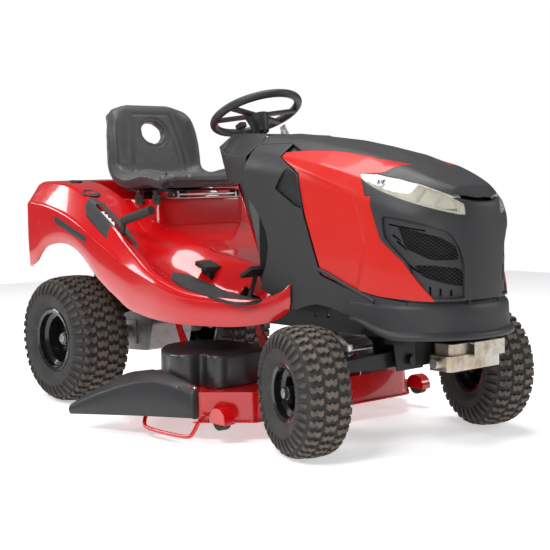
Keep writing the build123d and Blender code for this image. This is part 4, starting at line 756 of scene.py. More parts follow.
def mesh_patch(name, outline, sink, cell=(11.0, 7.0), bar=2.3):
    """Diamond mesh that follows the nose, cut to an outline seen from the side."""
    turns = [k / 400 for k in range(0, 401)]
    path = []
    for t in turns:
        x, y = hood_outline(t)
        path.append((x * (1 - sink / HOOD_W), y + sink * (1 - t)))
    ys, zs = [p[0] for p in outline], [p[1] for p in outline]
    path = [p for p in path if min(ys) - 8 <= p[1] <= max(ys) + 8]
    length = sum(math.dist(a, b) for a, b in zip(path, path[1:]))
    columns, rows = max(2, round(length / cell[0] / 1.4)), max(2, round((max(zs) - min(zs) + 12) / cell[1] / 1.4))
    run = even(path, columns * 2)
    return diamond_net(
        name, columns, rows,
        lambda u,
        v: at(*run[min(columns * 2, round(u * columns * 2))], min(zs) - 6 + v * (max(zs) - min(zs) + 12)),
        slab(name + "_edge", outline, "x", -420, 420), bar,
    )


def diamond_net(name, columns, rows, place, zone, bar):
    """A net of diamonds laid on place(u, v) and cut to a zone."""
    deselect()
    bpy.ops.mesh.primitive_grid_add(x_subdivisions=columns, y_subdivisions=rows, size=2)
    obj = bpy.context.object
    obj.name = name
    corners = len(obj.data.vertices)
    in_edit(obj, lambda: bpy.ops.mesh.poke())
    pick(obj)
    for e in obj.data.edges:
        e.select = e.vertices[0] < corners and e.vertices[1] < corners
    for v in obj.data.vertices:
        v.select = False
    for f in obj.data.polygons:
        f.select = False
    bpy.ops.object.mode_set(mode="EDIT")
    bpy.ops.mesh.select_mode(type="EDGE")
    bpy.ops.mesh.dissolve_edges(use_verts=False)
    bpy.ops.mesh.select_mode(type="VERT")
    bpy.ops.object.mode_set(mode="OBJECT")
    for v in obj.data.vertices:
        v.co = place((v.co.x + 1) / 2, (v.co.y + 1) / 2)
    modify(obj, "WIREFRAME", thickness=bar * MM, use_even_offset=False, use_boundary=True)
    return carve(obj, zone, operation="INTERSECT")


def nose_path(grow, from_y=-150, steps=72):
    """The bumper's line seen from above, from its right end round the nose to its left end."""
    right = []
    for k in range(steps + 1):
        a = k / steps * math.pi / 2
        right.append(
            (-(HOOD_W + grow) * math.sin(a) ** 0.93, NOSE_START - (NOSE_REACH - 6 + grow) * math.cos(a) ** 0.84)
        )
    right = [p for p in right if p[1] < from_y]
    right.append((right[-1][0] - 1.5, from_y))
    return [*reversed(right), *[(-x, y) for x, y in right[1:]]]


class HoodPiece:
    """Makes the covers over the engine."""

    @staticmethod
    def mask():
        mask = hood_skin("hood_mask", wall=8, stop=1.70, columns=76, rows=76, whole=True)
        keep = slab("keep", [
            (-420, 454), (-286, 454), (-13, 484), (90, 516), (160, 690), (212, 872), (300, 905), (430, 905),
            (430, 1100), (-420, 1100),
        ], "x", -420, 420)
        carve(mask, keep, operation="INTERSECT")
        red = swollen(red_zone("red_zone"), "red_gap", 1.4)
        lamp = swollen(lamp_zone("lamp_cut", 74), "lamp_gap", 0.8)
        recess = slab("recess", rounded(RECESS_SIDE, 14), "x", -420, -80)
        for cutter in (red, lamp, recess):
            other = copied(cutter, cutter.name + "_left", reflection())
            carve(mask, cutter, other)
        for name in ("red_zone", "lamp_cut"):
            bpy.data.objects.remove(bpy.data.objects[name])
        soft_edges(mask, 1.4, 2, 40)
        slot_line = [(-356, 722), (-316, 741), (-262, 757), (-258, 751), (-310, 733), (-356, 712)]
        carve(mask, slab("brow", slot_line, "x", -118, 118))
        return done(mask, "hood", FINISHES["dark_plastic"], ["hood_shell"])

    @staticmethod
    def liner():
        # The inner sheet is painted shade: a near-black skin 30 mm inside the hood, standing in for the shade
        # under it.
        liner = both_sides(hood_skin("hood_liner", sink=30, wall=3, stop=1.66, columns=40, rows=40, floor=474))
        strip = both_sides(
            hood_skin("rear_liner", sink=9.5, wall=3, start=1.36, stop=1.7, columns=24, rows=60, floor=790)
        )
        done(strip, "chassis", FINISHES["mesh_black"])
        return done(liner, "hood", FINISHES["painted_shade"])

    @staticmethod
    def grille():
        panel = hood_skin("grille_panel", sink=8.5, wall=4, stop=1.0, columns=44, rows=60)
        carve(panel, slab(
            "panel_keep", [(-345, 450), (-140, 450), (-140, 706), (-345, 706)], "x", -420, -66,
        ), operation="INTERSECT")
        for outline in (MESH_UPPER, MESH_LOWER):
            carve(panel, slab("mesh_hole", rounded(outline, 9), "x", -420, -60))
        for y0, z0, z1 in (
            (-232, 466, 508), (-252, 466, 500), (-271, 466, 494), (-289, 466, 488), (-305, 466, 482),
            (-317, 466, 478),
        ):
            carve(panel, slab(
                "slat", [(y0 - 2.2, z0), (y0 + 2.2, z0), (y0 + 2.2, z1), (y0 - 2.2, z1)], "x", -420, -90,
            ))
        for line in ([
            (-170, 668), (-262, 650), (-262, 645), (-170, 663),
        ], [(-196, 622), (-222, 597), (-222, 592), (-192, 617)],
                     [(-222, 560), (-250, 535), (-250, 530), (-218, 554)],
                     [(-182, 640), (-206, 622), (-206, 617), (-180, 634)]):
            carve(panel, slab("crease", line, "x", -420, -90))
        soft_edges(panel, 1.0, 2, 40)
        both_sides(panel)
        panel = bpy.context.object
        done(panel, "hood", FINISHES["dark_plastic"])
        nets = [mesh_patch("grille_net_" + part, outline, 11.0) for part, outline in (
            ("upper", MESH_UPPER), ("lower", MESH_LOWER),
        )]
        net = both_sides(joined("grille_net", *nets))
        done(net, "hood", FINISHES["mesh_black"], ["grille_mesh"])
        # painted shade: a near-black sheet behind the grille's mesh, standing in for the shade inside the nose
        dark = hood_skin("grille_back", sink=24, wall=3, stop=1.0, columns=40, rows=30)
        carve(dark, slab(
            "back_keep", [(-345, 452), (-150, 452), (-150, 690), (-345, 690)], "x", -420, -70,
        ), operation="INTERSECT")
        dark = both_sides(dark)
        return done(dark, "hood", FINISHES["painted_shade"])

    @staticmethod
    def red_sides():
        panel = hood_skin(
            "hood_red_side", wall=4, start=0.2, stop=1.56, columns=150, rows=130, dent=pressed_groove,
        )
        carve(panel, red_zone("red_zone"), operation="INTERSECT")
        soft_edges(panel, 1.3, 2, 45)
        panel = both_sides(panel)
        return done(panel, "hood", FINISHES["red_plastic"], ["hood_side_panels"], 30)

    @staticmethod
    def lamps():
        cover = hood_skin("headlight_cover", wall=2.5, start=0.1, stop=1.15, columns=60, rows=100)
        carve(cover, lamp_zone("lamp_zone", 76), operation="INTERSECT")
        cover = both_sides(cover)
        done(cover, "hood", FINISHES["lens"], ["headlights"])
        bowl = hood_skin("headlight_bowl", sink=13, wall=2.5, start=0.1, stop=1.15, columns=50, rows=80)
        carve(bowl, swollen(lamp_zone("lamp_small", 70), "lamp_bowl", 8), operation="INTERSECT")
        bpy.data.objects.remove(bpy.data.objects["lamp_small"])
        rim = hood_skin("headlight_rim", sink=2.5, wall=11, start=0.1, stop=1.15, columns=60, rows=90)
        carve(rim, lamp_zone("rim_zone", 76), operation="INTERSECT")
        hollow = lamp_zone("rim_hollow", 88)
        modify(hollow, "DISPLACE", strength=-4.5 * MM, mid_level=0)
        carve(rim, hollow)
        ribs = []
        for y, wide in ((-150, 2.0), (-236, 1.6), (-276, 1.6)):
            piece = hood_skin("lamp_rib", sink=3.2, wall=10, start=0.1, stop=1.15, columns=60, rows=90)
            line = [(y - wide, 680), (y + wide, 680), (y + wide + 12, 820), (y - wide + 12, 820)]
            carve(piece, slab("rib_zone", line, "x", -420, -78), operation="INTERSECT")
            carve(piece, lamp_zone("rib_lamp", 78), operation="INTERSECT")
            ribs.append(piece)
        lit = both_sides(joined("headlight_bowl", *ribs, rim, bowl))
        done(lit, "hood", FINISHES["reflector"])
        bulb = turned("headlight_bulb", [
            (-9, 0.2), (-9, 13), (-2, 15), (4, 9), (9, 8), (12, 4), (13, 0.2),
        ], at(-196, -122, 778), (-0.75, -0.6, 0.1), 28)
        bulb = both_sides(bulb)
        return done(bulb, "hood", FINISHES["chrome"])

    @staticmethod
    def fascias():
        side = hood_skin("fascia_skin", wall=4, start=0.35, stop=1.72, columns=90, rows=70)
        carve(side, slab("fascia_zone", FASCIA_SIDE, "x", -420, -100), operation="INTERSECT")
        carve(side, slab("vent_hole", rounded(VENT_SIDE, 8), "x", -420, -100))
        soft_edges(side, 1.6, 3, 40)
        net = vent_net()
        ridge = rod("ridge", [
            at(-236, y, z)
            for y, z in flow([(110, 531), (60, 517), (0, 494), (-70, 470), (-130, 448)], 5)
        ], 5.5, True)
        side = both_sides(joined("side_fascias_skin", ridge, side))
        done(side, "chassis", FINISHES["dark_plastic"], ["side_fascias"], 35)
        return done(net, "chassis", FINISHES["mesh_black"])

    @staticmethod
    def bumper():
        levels = [
            (-16, 474), (-14, 476), (-9, 452), (2.5, 441), (6, 437), (9, 428), (10.5, 400), (11.5, 372),
            (13, 366), (20, 362), (24, 357), (25, 349),
            (23, 345), (18, 345), (12, 350), (4, 362), (-3, 380), (-12, 410),
        ]
        lines = [even(nose_path(0, -32), 130) for g, z in levels]

        def ring(k):
            (x0, y0), (x1, y1) = lines[0][max(0, k - 1)], lines[0][min(130, k + 1)]
            x, y = lines[0][k]
            run = math.hypot(x1 - x0, y1 - y0)
            out = ((y1 - y0) / run, -(x1 - x0) / run)
            rise = ease(y, -210, -32)
            pts = []
            for g, z in levels:
                g = (g - 1) * (1 - 0.85 * rise) + 0.5 * rise if g > 0 else g
                z = z + max(0, 438 - z) * 0.45 * rise
                pts.append(at(x + out[0] * g, y + out[1] * g, z))
            return pts

        bumper = swept("front_skirt", list(range(131)), ring)
        return done(bumper, "chassis", FINISHES["dark_plastic"], ["front_bumper"], 45)


def vent_net():
    """Mesh behind the opening beside the dash, with a dark plate just behind it as painted shade."""
    ys, zs = [p[0] for p in VENT_SIDE], [p[1] for p in VENT_SIDE]
    low, high = (min(ys) - 6, min(zs) - 6), (max(ys) + 6, max(zs) + 6)
    net = diamond_net(
        "vent_net", 14, 18,
        lambda u, v: at(-228, low[0] + u * (high[0] - low[0]), low[1] + v * (high[1] - low[1])),
        slab("vent_zone", VENT_SIDE, "x", -420, 0), 2.0,
    )
    # painted shade: a dark plate close behind the net, joined to it, standing in for the shade behind the opening
    back = slab("vent_back", VENT_SIDE, "x", -224, -222)
    back.data.materials.clear()
    return both_sides(joined("vent_net", back, net))


def dash():
    """The dash's own shape, with its rear end drawn out to a point below the wheel."""
    top = copied(frame["nodes"]["dash_console"], "dash_skin")
    tidy_mesh(top)
    origin = at(0, 0, 0)
    for v in top.data.vertices:
        x, y, z = (v.co - origin) / MM
        if y > 566 and z > 786:
            v.co.z = at(0, 0, max(z, 786 + (min(y, 648) - 565) * 1.43)).z
    soft_edges(top, 1.5, 2, 40)
    return done(top, "chassis", FINISHES["dark_plastic"], ["dash_console"], 35)


# ------------------------------------------------------------------ red body
BODY_PLAN = [
    (160, 236), (222, 241), (285, 287), (340, 322), (450, 383), (540, 416), (640, 429), (760, 430), (1400, 430),
    (1470, 416), (1549, 372),
]
BODY_TOP = [
    (160, 492), (222, 484), (256, 456), (310, 434), (420, 437), (560, 455), (700, 500), (800, 548), (900, 602),
    (980, 652), (1050, 694),
    (1110, 727), (1170, 755), (1260, 786), (1340, 798), (1400, 800), (1460, 796), (1500, 780), (1528, 748),
    (1546, 700),
]
STEP_LINE = [
    (160, 474), (222, 466), (256, 440), (310, 420), (420, 421), (560, 436), (700, 474), (800, 506), (874, 539),
    (940, 570), (1003, 598),
    (1070, 632), (1138, 661), (1200, 683), (1263, 700), (1330, 714), (1400, 722), (1480, 720), (1549, 640),
]
SKIRT = [
    (160, 412), (222, 398), (250, 376), (280, 360), (330, 349), (398, 344), (526, 345), (610, 348), (688, 354),
    (750, 362),
    (813, 374), (852, 390), (889, 409), (935, 431), (979, 455), (1010, 473), (1040, 496), (1085, 531),
    (1134, 560),
    (1184, 577), (1234, 581), (1290, 576), (1339, 563), (1375, 540), (1408, 510), (1450, 492), (1532, 480),
    (1549, 478),
]
FLOOR_DIP = 16


def body_lines():
    top, step, skirt, plan = (flow(line, 5) for line in (BODY_TOP, STEP_LINE, SKIRT, BODY_PLAN))
    return top, step, skirt, plan


def body_rows():
    """Stations along the machine, closer together where the body's shape turns."""
    marks = [221, 236, 293, 299, 305, 448, 454, 885, 893, 1337, 1349, 1400, 1500, 1530, 1547]
    counts = [2, 9, 1, 1, 12, 1, 32, 1, 34, 2, 6, 12, 6, 5]
    ys = []
    for (a, b), n in zip(zip(marks, marks[1:]), counts):
        ys += [a + (b - a) * k / n for k in range(n)]
    return [*ys, marks[-1]]


def floor_height(x, y, edge):
    """Height of the body's upper side at a place, x measured from the centre."""
    z = edge
    dip = FLOOR_DIP * ease(y, 250, 330) * (1 - ease(y, 690, 800)) * (1 - ease(x, 345, 385))
    z -= dip
    if 299 < y < 980:
        ridge = blend(y, [(299, 515), (450, 515), (700, 560), (960, 640)])
        side = 1 - ease(x, 150, blend(y, [(300, 176), (450, 200), (700, 300)]))
        z = max(z, z + (ridge - z) * side) if ridge > z else z
    if 885 <= y <= 1349:
        bay = (1 - ease(x, 226, 236)) * ease(y, 885, 893) * (1 - ease(y, 1338, 1348))
        z = z + (min(z, 733) - z) * bay
    crown = 5 * (1 - (x / 430) ** 2) * ease(y, 1340, 1420)
    return z + crown


def body_rib(y, lines):
    """One cross-section of the right half, from the skirt's lower edge to the middle."""
    top, step, skirt, plan = lines
    wide, zt, zs, zb = blend(y, plan), blend(y, top), blend(y, step), blend(y, skirt)
    zb = min(zb, zs - 8)
    lean = min(1.0, (zt - zs) / 95)
    ledge = 7 * ease(y, 740, 930)
    inset = 14 + 58 * lean * ease(y, 600, 960)
    inset = min(inset, (wide - 236) * 0.6 + 3)
    corners = [
        (wide - 5, zb), (wide + 0.0, zb + (zs - zb) * 0.45), (wide - 1, zs - 3), (wide - 1 - ledge, zs + 3),
        (wide - inset + 4, zt - 5), (wide - inset - 9, zt),
    ]
    edge = soften(corners, (60, 4 + 3 * lean, 5, 11 + 3 * lean), 4)
    rib = edge[:-1]
    start = wide - inset - 9
    marks = [300, 262, 240, 236, 233, 229, 226, 216, 204, 190, 176, 164, 156, 150, 120, 80, 40, 0]
    xs = [start] + [start + (300 - start) * k / 5 for k in range(1, 5)] + marks
    xs = [min(x, start * (1 - 0.004 * k)) if x > start - 2 * k else x for k, x in enumerate(xs)]
    rib += [(x, floor_height(x, y, zt)) for x in xs]
    return rib


def rear_body():
    """Red fenders, running boards, seat box and the pedestal's face."""
    lines = body_lines()
    ys = body_rows()
    ribs = [body_rib(y, lines) for y in ys]
    columns, rows = len(ribs) - 1, len(ribs[0]) - 1
    body = surface(
        "rear_body_skin", columns, rows,
        lambda u, v: at(
            -ribs[round(u * columns)][round(v * rows)][0], ys[round(u * columns)],
            ribs[round(u * columns)][round(v * rows)][1],
        ),
    )
    both = joined("rear_body_skin", copied(body, "left_half", reflection()), body)
    tidy_mesh(both)
    outward(both)
    rear_edge(both)
    modify(both, "SOLIDIFY", thickness=4 * MM, offset=-1)
    cutters = [
        slab("front_notch", [(-239, 100), (239, 100), (239, 299), (-239, 299)], "z", 250, 700),
        slab("pedestal_hole", [(-140, 292), (140, 292), (140, 446), (-140, 446)], "z", 470, 700),
        slab("lever_slot", [(-374, 856), (-358, 856), (-358, 1096), (-374, 1096)], "z", 470, 900),
        slab("filler_hole", [
            (330 + 38 * math.cos(k / 20 * 2 * math.pi), 1370 + 38 * math.sin(k / 20 * 2 * math.pi))
            for k in range(20)
        ], "z", 700, 900),
        slab("pedal_slot", rounded([(-226, 382), (-190, 382), (-190, 496), (-226, 496)], 10), "z", 380, 470),
        slab("brake_slot", rounded([(190, 382), (226, 382), (226, 496), (190, 496)], 10), "z", 380, 470),
        slab("reverse_slot", [(-236, 612), (-214, 612), (-214, 670), (-236, 670)], "z", 400, 520),
    ]
    carve(both, *cutters)
    soft_edges(both, 1.6, 2, 55)
    box = slab("seat_box", rounded(
        [(-208, 967), (208, 967), (208, 1250), (-208, 1250)], 44, 7,
    ), "z", 470, 732.5, 7, 4, 50)
    for x, y0, y1, z0, z1 in ((-150, 964, 966, 600, 700),):
        carve(box, slab("panel_line", [(x - 30, z0), (x - 27, z0), (x - 27, z1), (x - 30, z1)], "y", y0, y1 + 3))
    (y0, z0), (y1, z1) = (450, 511), (574, 784)
    face = slab("pedestal_face", [(y0 - 1, z0), (y0 + 4, z0), (y1 + 4, z1), (y1 - 1, z1)], "x", -152, 152, 2, 3)
    red = joined("rear_body_skin", face, box, both)
    return done(red, "chassis", FINISHES["red_body"], ["rear_body"], 32)


def rear_edge(body):
    """Draws the rear end's border down to close the tail with a wall."""
    pick(body)
    bpy.ops.object.mode_set(mode="EDIT")
    bpy.ops.mesh.select_mode(type="EDGE")
    bpy.ops.mesh.select_all(action="DESELECT")
    bpy.ops.object.mode_set(mode="OBJECT")
    tail = at(0, 1546.9, 0).y
    floor = 0.56
    used = {}
    for p in body.data.polygons:
        for key in p.edge_keys:
            used[key] = used.get(key, 0) + 1
    for e in body.data.edges:
        a, b = (body.data.vertices[i].co for i in e.vertices)
        border = used.get(tuple(sorted(e.vertices)), 0) == 1
        e.select = border and a.y > tail and b.y > tail and a.z > floor and b.z > floor
    bpy.ops.object.mode_set(mode="EDIT")
    for drop in (12, 14):
        bpy.ops.mesh.extrude_edges_move(TRANSFORM_OT_translate={"value": (0, 0.0008, -drop * MM)})
    bpy.ops.mesh.select_mode(type="VERT")
    bpy.ops.object.mode_set(mode="OBJECT")


def quadrant():
    """Stepped plate beside the lift lever, let into the fender."""
    outline = [
        (-404, 1100), (-392, 1128), (-352, 1128), (-338, 1096), (-334, 960), (-345, 880), (-372, 838),
        (-400, 848), (-410, 900), (-408, 1010),
    ]
    plate = slab("quadrant_plate", rounded(outline, 16), "z", 500, 860)
    lines = body_lines()
    strip = surface(
        "quadrant_plate_skin", 46, 10,
        lambda u,
        v: at(-330 - 82 * v, 820 + 330 * u, blend(820 + 330 * u, lines[0]) - 52 * ease(v, 0.42, 1.15) + 4),
    )
    outward(strip)
    modify(strip, "SOLIDIFY", thickness=7 * MM, offset=-1)
    carve(strip, plate, operation="INTERSECT")
    carve(strip, slab(
        "notch", rounded([(-375, 860), (-357, 860), (-357, 1085), (-366, 1092), (-375, 1085)], 5), "z", 400, 900,
    ))
    carve(strip, slab("square_hole", [(-392, 868), (-381, 868), (-381, 878), (-392, 878)], "z", 400, 900))
    soft_edges(strip, 1.6, 3, 40)
    teeth = [
        brick("tooth", (-355.5, y - 3.5, blend(y, lines[0]) - 14), (-344, y + 3.5, blend(y, lines[0]) + 2.5), 1.2)
        for y in range(950, 1080, 21)
    ]
    plate = joined("quadrant_plate", *teeth, strip)
    return done(plate, "chassis", FINISHES["dark_plastic"], ["lever_plate"], 35)


def body_trim():
    """Plugs, recess and the plain dark strip on the right fender."""
    lines = body_lines()
    made = []

    def on_top(x, y, lift=0):
        return at(x, y, blend(y, lines[0]) + lift)

    plug = turned("plug", [
        (-3, 0.2), (-3, 22), (1, 24), (3, 22), (4, 16), (4, 0.2),
    ], on_top(-300, 1330, 2), (0, -0.05, 1), 32)
    dot = turned("dot", [(-3, 0.1), (-3, 6), (2, 6), (3, 4), (3, 0.1)], on_top(-330, 1300, 1), (0, 0, 1), 20)
    made += [plug, dot]
    oval = turned("oval", [
        (-3, 0.2), (-3, 31), (2, 33), (4, 31), (4.5, 27), (0, 24), (0, 0.2),
    ], on_top(-338, 1168, 0), (0, -0.35, 1), 40)
    made.append(oval)
    infill = [(512, 768), (369, 677), (328, 599), (369, 471), (408, 459), (448, 470), (534, 780)]
    side = both_sides(slab("pedestal_infill", infill, "x", -151.5, -146, 1.2))
    done(side, "chassis", FINISHES["pedestal"])
    trim = joined("body_plugs", *made)
    done(trim, "chassis", FINISHES["dark_plastic"])
    line = [(1268, 679), (1064, 608), (1066, 586), (1268, 652)]
    strip = slab("side_strip", rounded(line, 3, 2), "x", -431.2, -428, 0.5)
    strip = both_sides(strip)
    return done(strip, "chassis", FINISHES["dark_plastic"])


def mats():
    """Ribbed mats in the foot wells, pointed at the rear."""
    lines = body_lines()
    outline = [
        (-340, 300), (-372, 420), (-384, 560), (-366, 660), (-318, 716), (-282, 700), (-244, 600), (-232, 480),
        (-240, 330), (-262, 292),
    ]
    sheet = surface(
        "foot_mat", 60, 24,
        lambda u, v: at(-220 - 175 * v, 280 + 450 * u, floor_height(
            220 + 175 * v, 280 + 450 * u, blend(280 + 450 * u, lines[0]),
        ) + 5),
    )
    outward(sheet)
    modify(sheet, "SOLIDIFY", thickness=8 * MM, offset=-1)
    carve(sheet, slab("mat_shape", rounded(outline, 30), "z", 300, 700), operation="INTERSECT")
    for x, y0, y1 in ((-208, 382, 496), (-225, 610, 672)):
        carve(sheet, slab("pedal_gap", [(x - 18, y0), (x + 18, y0), (x + 18, y1), (x - 18, y1)], "z", 300, 700))
    soft_edges(sheet, 1.2, 2, 45)
    mat = both_sides(sheet)
    return done(mat, "chassis", FINISHES["mat"], ["foot_mats"], 30)


# ------------------------------------------------------------------ tyres and wheels
FRONT_TYRE = (152, 190.5, 76.2)
REAR_TYRE = (216, 228.5, 101.6)


def wheel_place(node):
    """Centre and axis of a wheel, from its frame piece."""
    low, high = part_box(node)
    centre = (low + high) / 2
    joint = next(j for j in frame["joints"] if j["name"] == node.replace("_tyre_", "_wheel_") + "_spin")
    return centre, Vector(joint["axis"]).normalized()


def carcass_line(width, radius, rim):
    """Half of a tyre's outer line from the crown to the bead: (from the middle, radius)."""
    w, top = width / 2, radius - 8.5
    wall = top - rim
    return flow([
        (0, top), (0.34 * w, top - 0.01 * wall), (0.66 * w, top - 0.055 * wall), (0.86 * w, top - 0.16 * wall),
        (0.975 * w, top - 0.36 * wall), (0.995 * w, top - 0.55 * wall), (0.94 * w, top - 0.76 * wall),
        (0.80 * w, top - 0.93 * wall), (0.70 * w, rim + 0.5),
    ], 6)


def line_at(line, s):
    """Point and outward direction on a line at distance s from its start."""
    run = 0.0
    for a, b in zip(line, line[1:]):
        step = math.dist(a, b)
        if run + step >= s or (a, b) == (line[-2], line[-1]):
            t = (s - run) / step
            d = ((b[0] - a[0]) / step, (b[1] - a[1]) / step)
            return (a[0] + (b[0] - a[0]) * t, a[1] + (b[1] - a[1]) * t), (-d[1], d[0])
        run += step


LUG_FLANK = 0.86


def lug(line, axis, side, centre, outline, turn, height):
    """One tread block from its outline of (across the tread, round the tyre)."""
    deselect()
    bpy.ops.mesh.primitive_circle_add(vertices=len(outline), radius=1, fill_type="NGON")
    obj = bpy.context.object
    round_way = axis.cross(side)
    mid = (sum(p[0] for p in outline) / len(outline), sum(p[1] for p in outline) / len(outline))

    def place(s, a, lift):
        (b, r), (nb, nr) = line_at(line, abs(s))
        b, nb = (b, nb) if s >= 0 else (-b, -nb)
        b, r = b + nb * lift, r + nr * lift
        angle = turn + a / line[0][1]
        return centre + (axis * b + (side * math.cos(angle) + round_way * math.sin(angle)) * r) * MM

    low = [place(s, a, -2.5) for s, a in outline]
    high = [place(
        mid[0] + (s - mid[0]) * LUG_FLANK, mid[1] + (a - mid[1]) * LUG_FLANK, height,
    ) for s, a in outline]
    for v, p in zip(obj.data.vertices, high):
        v.co = p
    in_edit(obj, lambda: bpy.ops.mesh.extrude_region_move(TRANSFORM_OT_translate={"value": (0, 0, 0)}))
    moved = [v for v in obj.data.vertices if not v.select]
    for v in moved:
        near = min(range(len(high)), key=lambda k: (v.co - high[k]).length)
        v.co = low[near]
    in_edit(obj, lambda: bpy.ops.mesh.normals_make_consistent(inside=False))
    return obj


def tread_rows(rear):
    """Outlines of one repeat of the tread: crowned blocks in staggered columns."""
    scale = 1.12 if rear else 1.0
    crown = [
        (-17, -7), (-6, -3), (0, -8), (6, -3), (17, -7), (17.5, 5), (9, 10.5), (0, 4), (-9, 10.5), (-17.5, 5),
    ]
    crown = [(a * 1.1 * scale, b * 1.32 * scale) for a, b in crown]
    columns = [-1.5, -0.5, 0.5, 1.5] if rear else [-1, 0, 1]
    gap = 40 * scale if rear else 42
    blocks = []
    for k, c in enumerate(columns):
        shift = 0 if k % 2 else 0.5
        blocks.append(([(a + c * gap, b) for a, b in crown], shift, 8.0))
    edge = (columns[-1] + 0.5) * gap + 3
    for sign in (-1, 1):
        outer = [
            (edge, -8), (edge + 14, -10), (edge + 30, -6), (edge + 44, -3.5), (edge + 44, 3.5), (edge + 28, 5),
            (edge + 12, 9), (edge, 6),
        ]
        shift = 0.0 if len(columns) % 2 else 0.5
        blocks.append(([(sign * a * 1.0, b) for a, b in outer], shift, 6.5))
    return blocks


def tyre(name, body, width, radius, rim, rear):
    """A tyre whose tread is one row of blocks, copied all the way round."""
    centre, axis = wheel_place(name)
    side = axis.orthogonal().normalized()
    half = carcass_line(width, radius, rim)
    loop = [(-b, r) for b, r in reversed(half)] + half[1:]
    loop += [(0.62 * width / 2, rim - 1), (0, rim - 1), (-0.62 * width / 2, rim - 1)]
    ring = turned(name + "_carcass", loop, centre, axis, 84)
    count = 40 if rear else 36
    blocks = []
    for outline, shift, height in tread_rows(rear):
        blocks.append(lug(half, axis, side, centre, outline, shift * 2 * math.pi / count, height))
    row = joined(name + "_row", *blocks)
    level = row.data.attributes.new("tread_top", "FLOAT", "POINT")
    for v, item in zip(row.data.vertices, level.data):
        d = v.co - centre
        r = (d - axis * d.dot(axis)).length / MM
        b = abs(d.dot(axis)) / MM
        item.value = ease(
            r, radius - 7 - (22 if b > width * 0.36 else 0), radius - 3 - (12 if b > width * 0.36 else 0),
        )
    rows = [row]
    for k in range(1, count):
        turn = Matrix.Translation(centre) @ Matrix.Rotation(
            2 * math.pi * k / count, 4, axis,
        ) @ Matrix.Translation(-centre)
        rows.append(copied(row, f"{name}_row_{k}", turn))
    whole = joined(name + "_tread", *rows, ring)
    return done(whole, body, FINISHES["tyre_rubber"], [name], 30)


def wheel_trim(tyre_name, body, rear):
    """Hub cap and valve on the outer side of a rim."""
    centre, axis = wheel_place(tyre_name)
    out = axis if axis.x * (centre.x - PIVOT[0]) > 0 else -axis
    face = 40 if rear else 44
    cap = turned(
        tyre_name.replace("_tyre_", "_cap_"),
        [(face + 4, 0.2), (face + 4, 17), (face + 16, 17), (face + 20, 14), (face + 22, 8), (face + 22.5, 0.2)],
        centre, out, 36,
    )
    up = Vector((0, 0, 1))
    valve_foot = centre + out * (face - 14) * MM + up * (72 if rear else 50) * MM
    valve = rod("valve", [valve_foot, valve_foot + out * 18 * MM], 3.6)
    tip = rod("tip", [valve_foot + out * 17 * MM, valve_foot + out * 26 * MM], 2.6)
    trim = joined(cap.name, tip, valve, cap)
    return done(trim, body, FINISHES["cap_metal"])


# ------------------------------------------------------------------ seat
SEAT_LINE = [
    (884, 796), (890, 812), (915, 823), (980, 822), (1060, 816), (1130, 806), (1184, 812), (1220, 844),
    (1236, 890),
    (1250, 950), (1264, 1010), (1276, 1052), (1288, 1076), (1306, 1084),
]


def seat_surface(u, v):
    """Front of the moulded pad. u runs from the front lip to the top, v from right to left."""
    line = SEAT_PATH
    k = min(len(line) - 2, int(u * (len(line) - 1)))
    t = u * (len(line) - 1) - k
    y, z = (line[k][0] + (line[k + 1][0] - line[k][0]) * t, line[k][1] + (line[k + 1][1] - line[k][1]) * t)
    dy, dz = line[k + 1][0] - line[k][0], line[k + 1][1] - line[k][1]
    size = math.hypot(dy, dz)
    out = (-dz / size, dy / size)
    s = 2 * v - 1
    wide = blend(u, [(0, 196), (0.06, 206), (0.3, 211), (0.62, 211), (0.8, 204), (0.93, 190), (1, 176)])
    bolster = 24 * ease(abs(s), 0.52, 0.86) * ease(u, 0.08, 0.3) * (
        1 - 0.75 * ease(u, 0.5, 0.62) * ease(0.75 - u, -0.2, 0.1)
    )
    bolster *= 1 - ease(u, 0.86, 1.0)
    roll = -26 * ease(abs(s), 0.88, 1.0)
    wing = 16 * abs(s) ** 2 * ease(u, 0.55, 0.7) * (1 - ease(u, 0.72, 0.9))
    droop = 20 * ease(abs(s), 0.5, 1.0) * ease(u, 0.8, 1.0)
    lift = bolster + roll + wing - 2
    hollow = -7 * (1 - ease(abs(s), 0.1, 0.55)) * ease(u, 0.1, 0.3) * (1 - ease(u, 0.5, 0.6))
    lift += hollow
    return at(wide * s, y + out[0] * lift, z + out[1] * lift - droop)


SEAT_PATH = even(flow(SEAT_LINE, 6), 80)


def select_faces(obj, test):
    """Selects the faces whose centre, in design millimetres, passes the test."""
    in_edit(
        obj,
        lambda: bpy.ops.mesh.select_mode(type="FACE"),
        lambda: bpy.ops.mesh.select_all(action="DESELECT"),
    )
    origin = at(0, 0, 0)
    for p in obj.data.polygons:
        p.select = test(*((p.center - origin) / MM))


def seat():
    """One-piece moulded seat with a hand hole through its back."""
    pad = surface("seat_pad", 110, 96, seat_surface)
    outward(pad)
    select_faces(pad, lambda x, y, z: z > 900 and math.hypot(x / 52, (z - 980) / 42) < 1)
    bpy.ops.object.mode_set(mode="EDIT")
    bpy.ops.mesh.delete(type="FACE")
    bpy.ops.mesh.select_mode(type="VERT")
    bpy.ops.object.mode_set(mode="OBJECT")
    modify(pad, "SOLIDIFY", thickness=38 * MM, offset=-1)
    base = slab("seat_base", rounded(
        [(898, 778), (904, 800), (1150, 800), (1205, 830), (1215, 800), (1180, 772), (960, 770)], 8,
    ), "x", -180, 186)
    pad = joined("seat_pad", base, pad)
    modify(pad, "REMESH", mode="VOXEL", voxel_size=4.6 * MM)
    modify(pad, "SMOOTH", factor=0.5, iterations=10)
    seam_grooves(pad)
    modify(pad, "SMOOTH", factor=0.35, iterations=1)
    return done(pad, "seat", FINISHES["seat_vinyl"], ["seat_cushion"], 180)


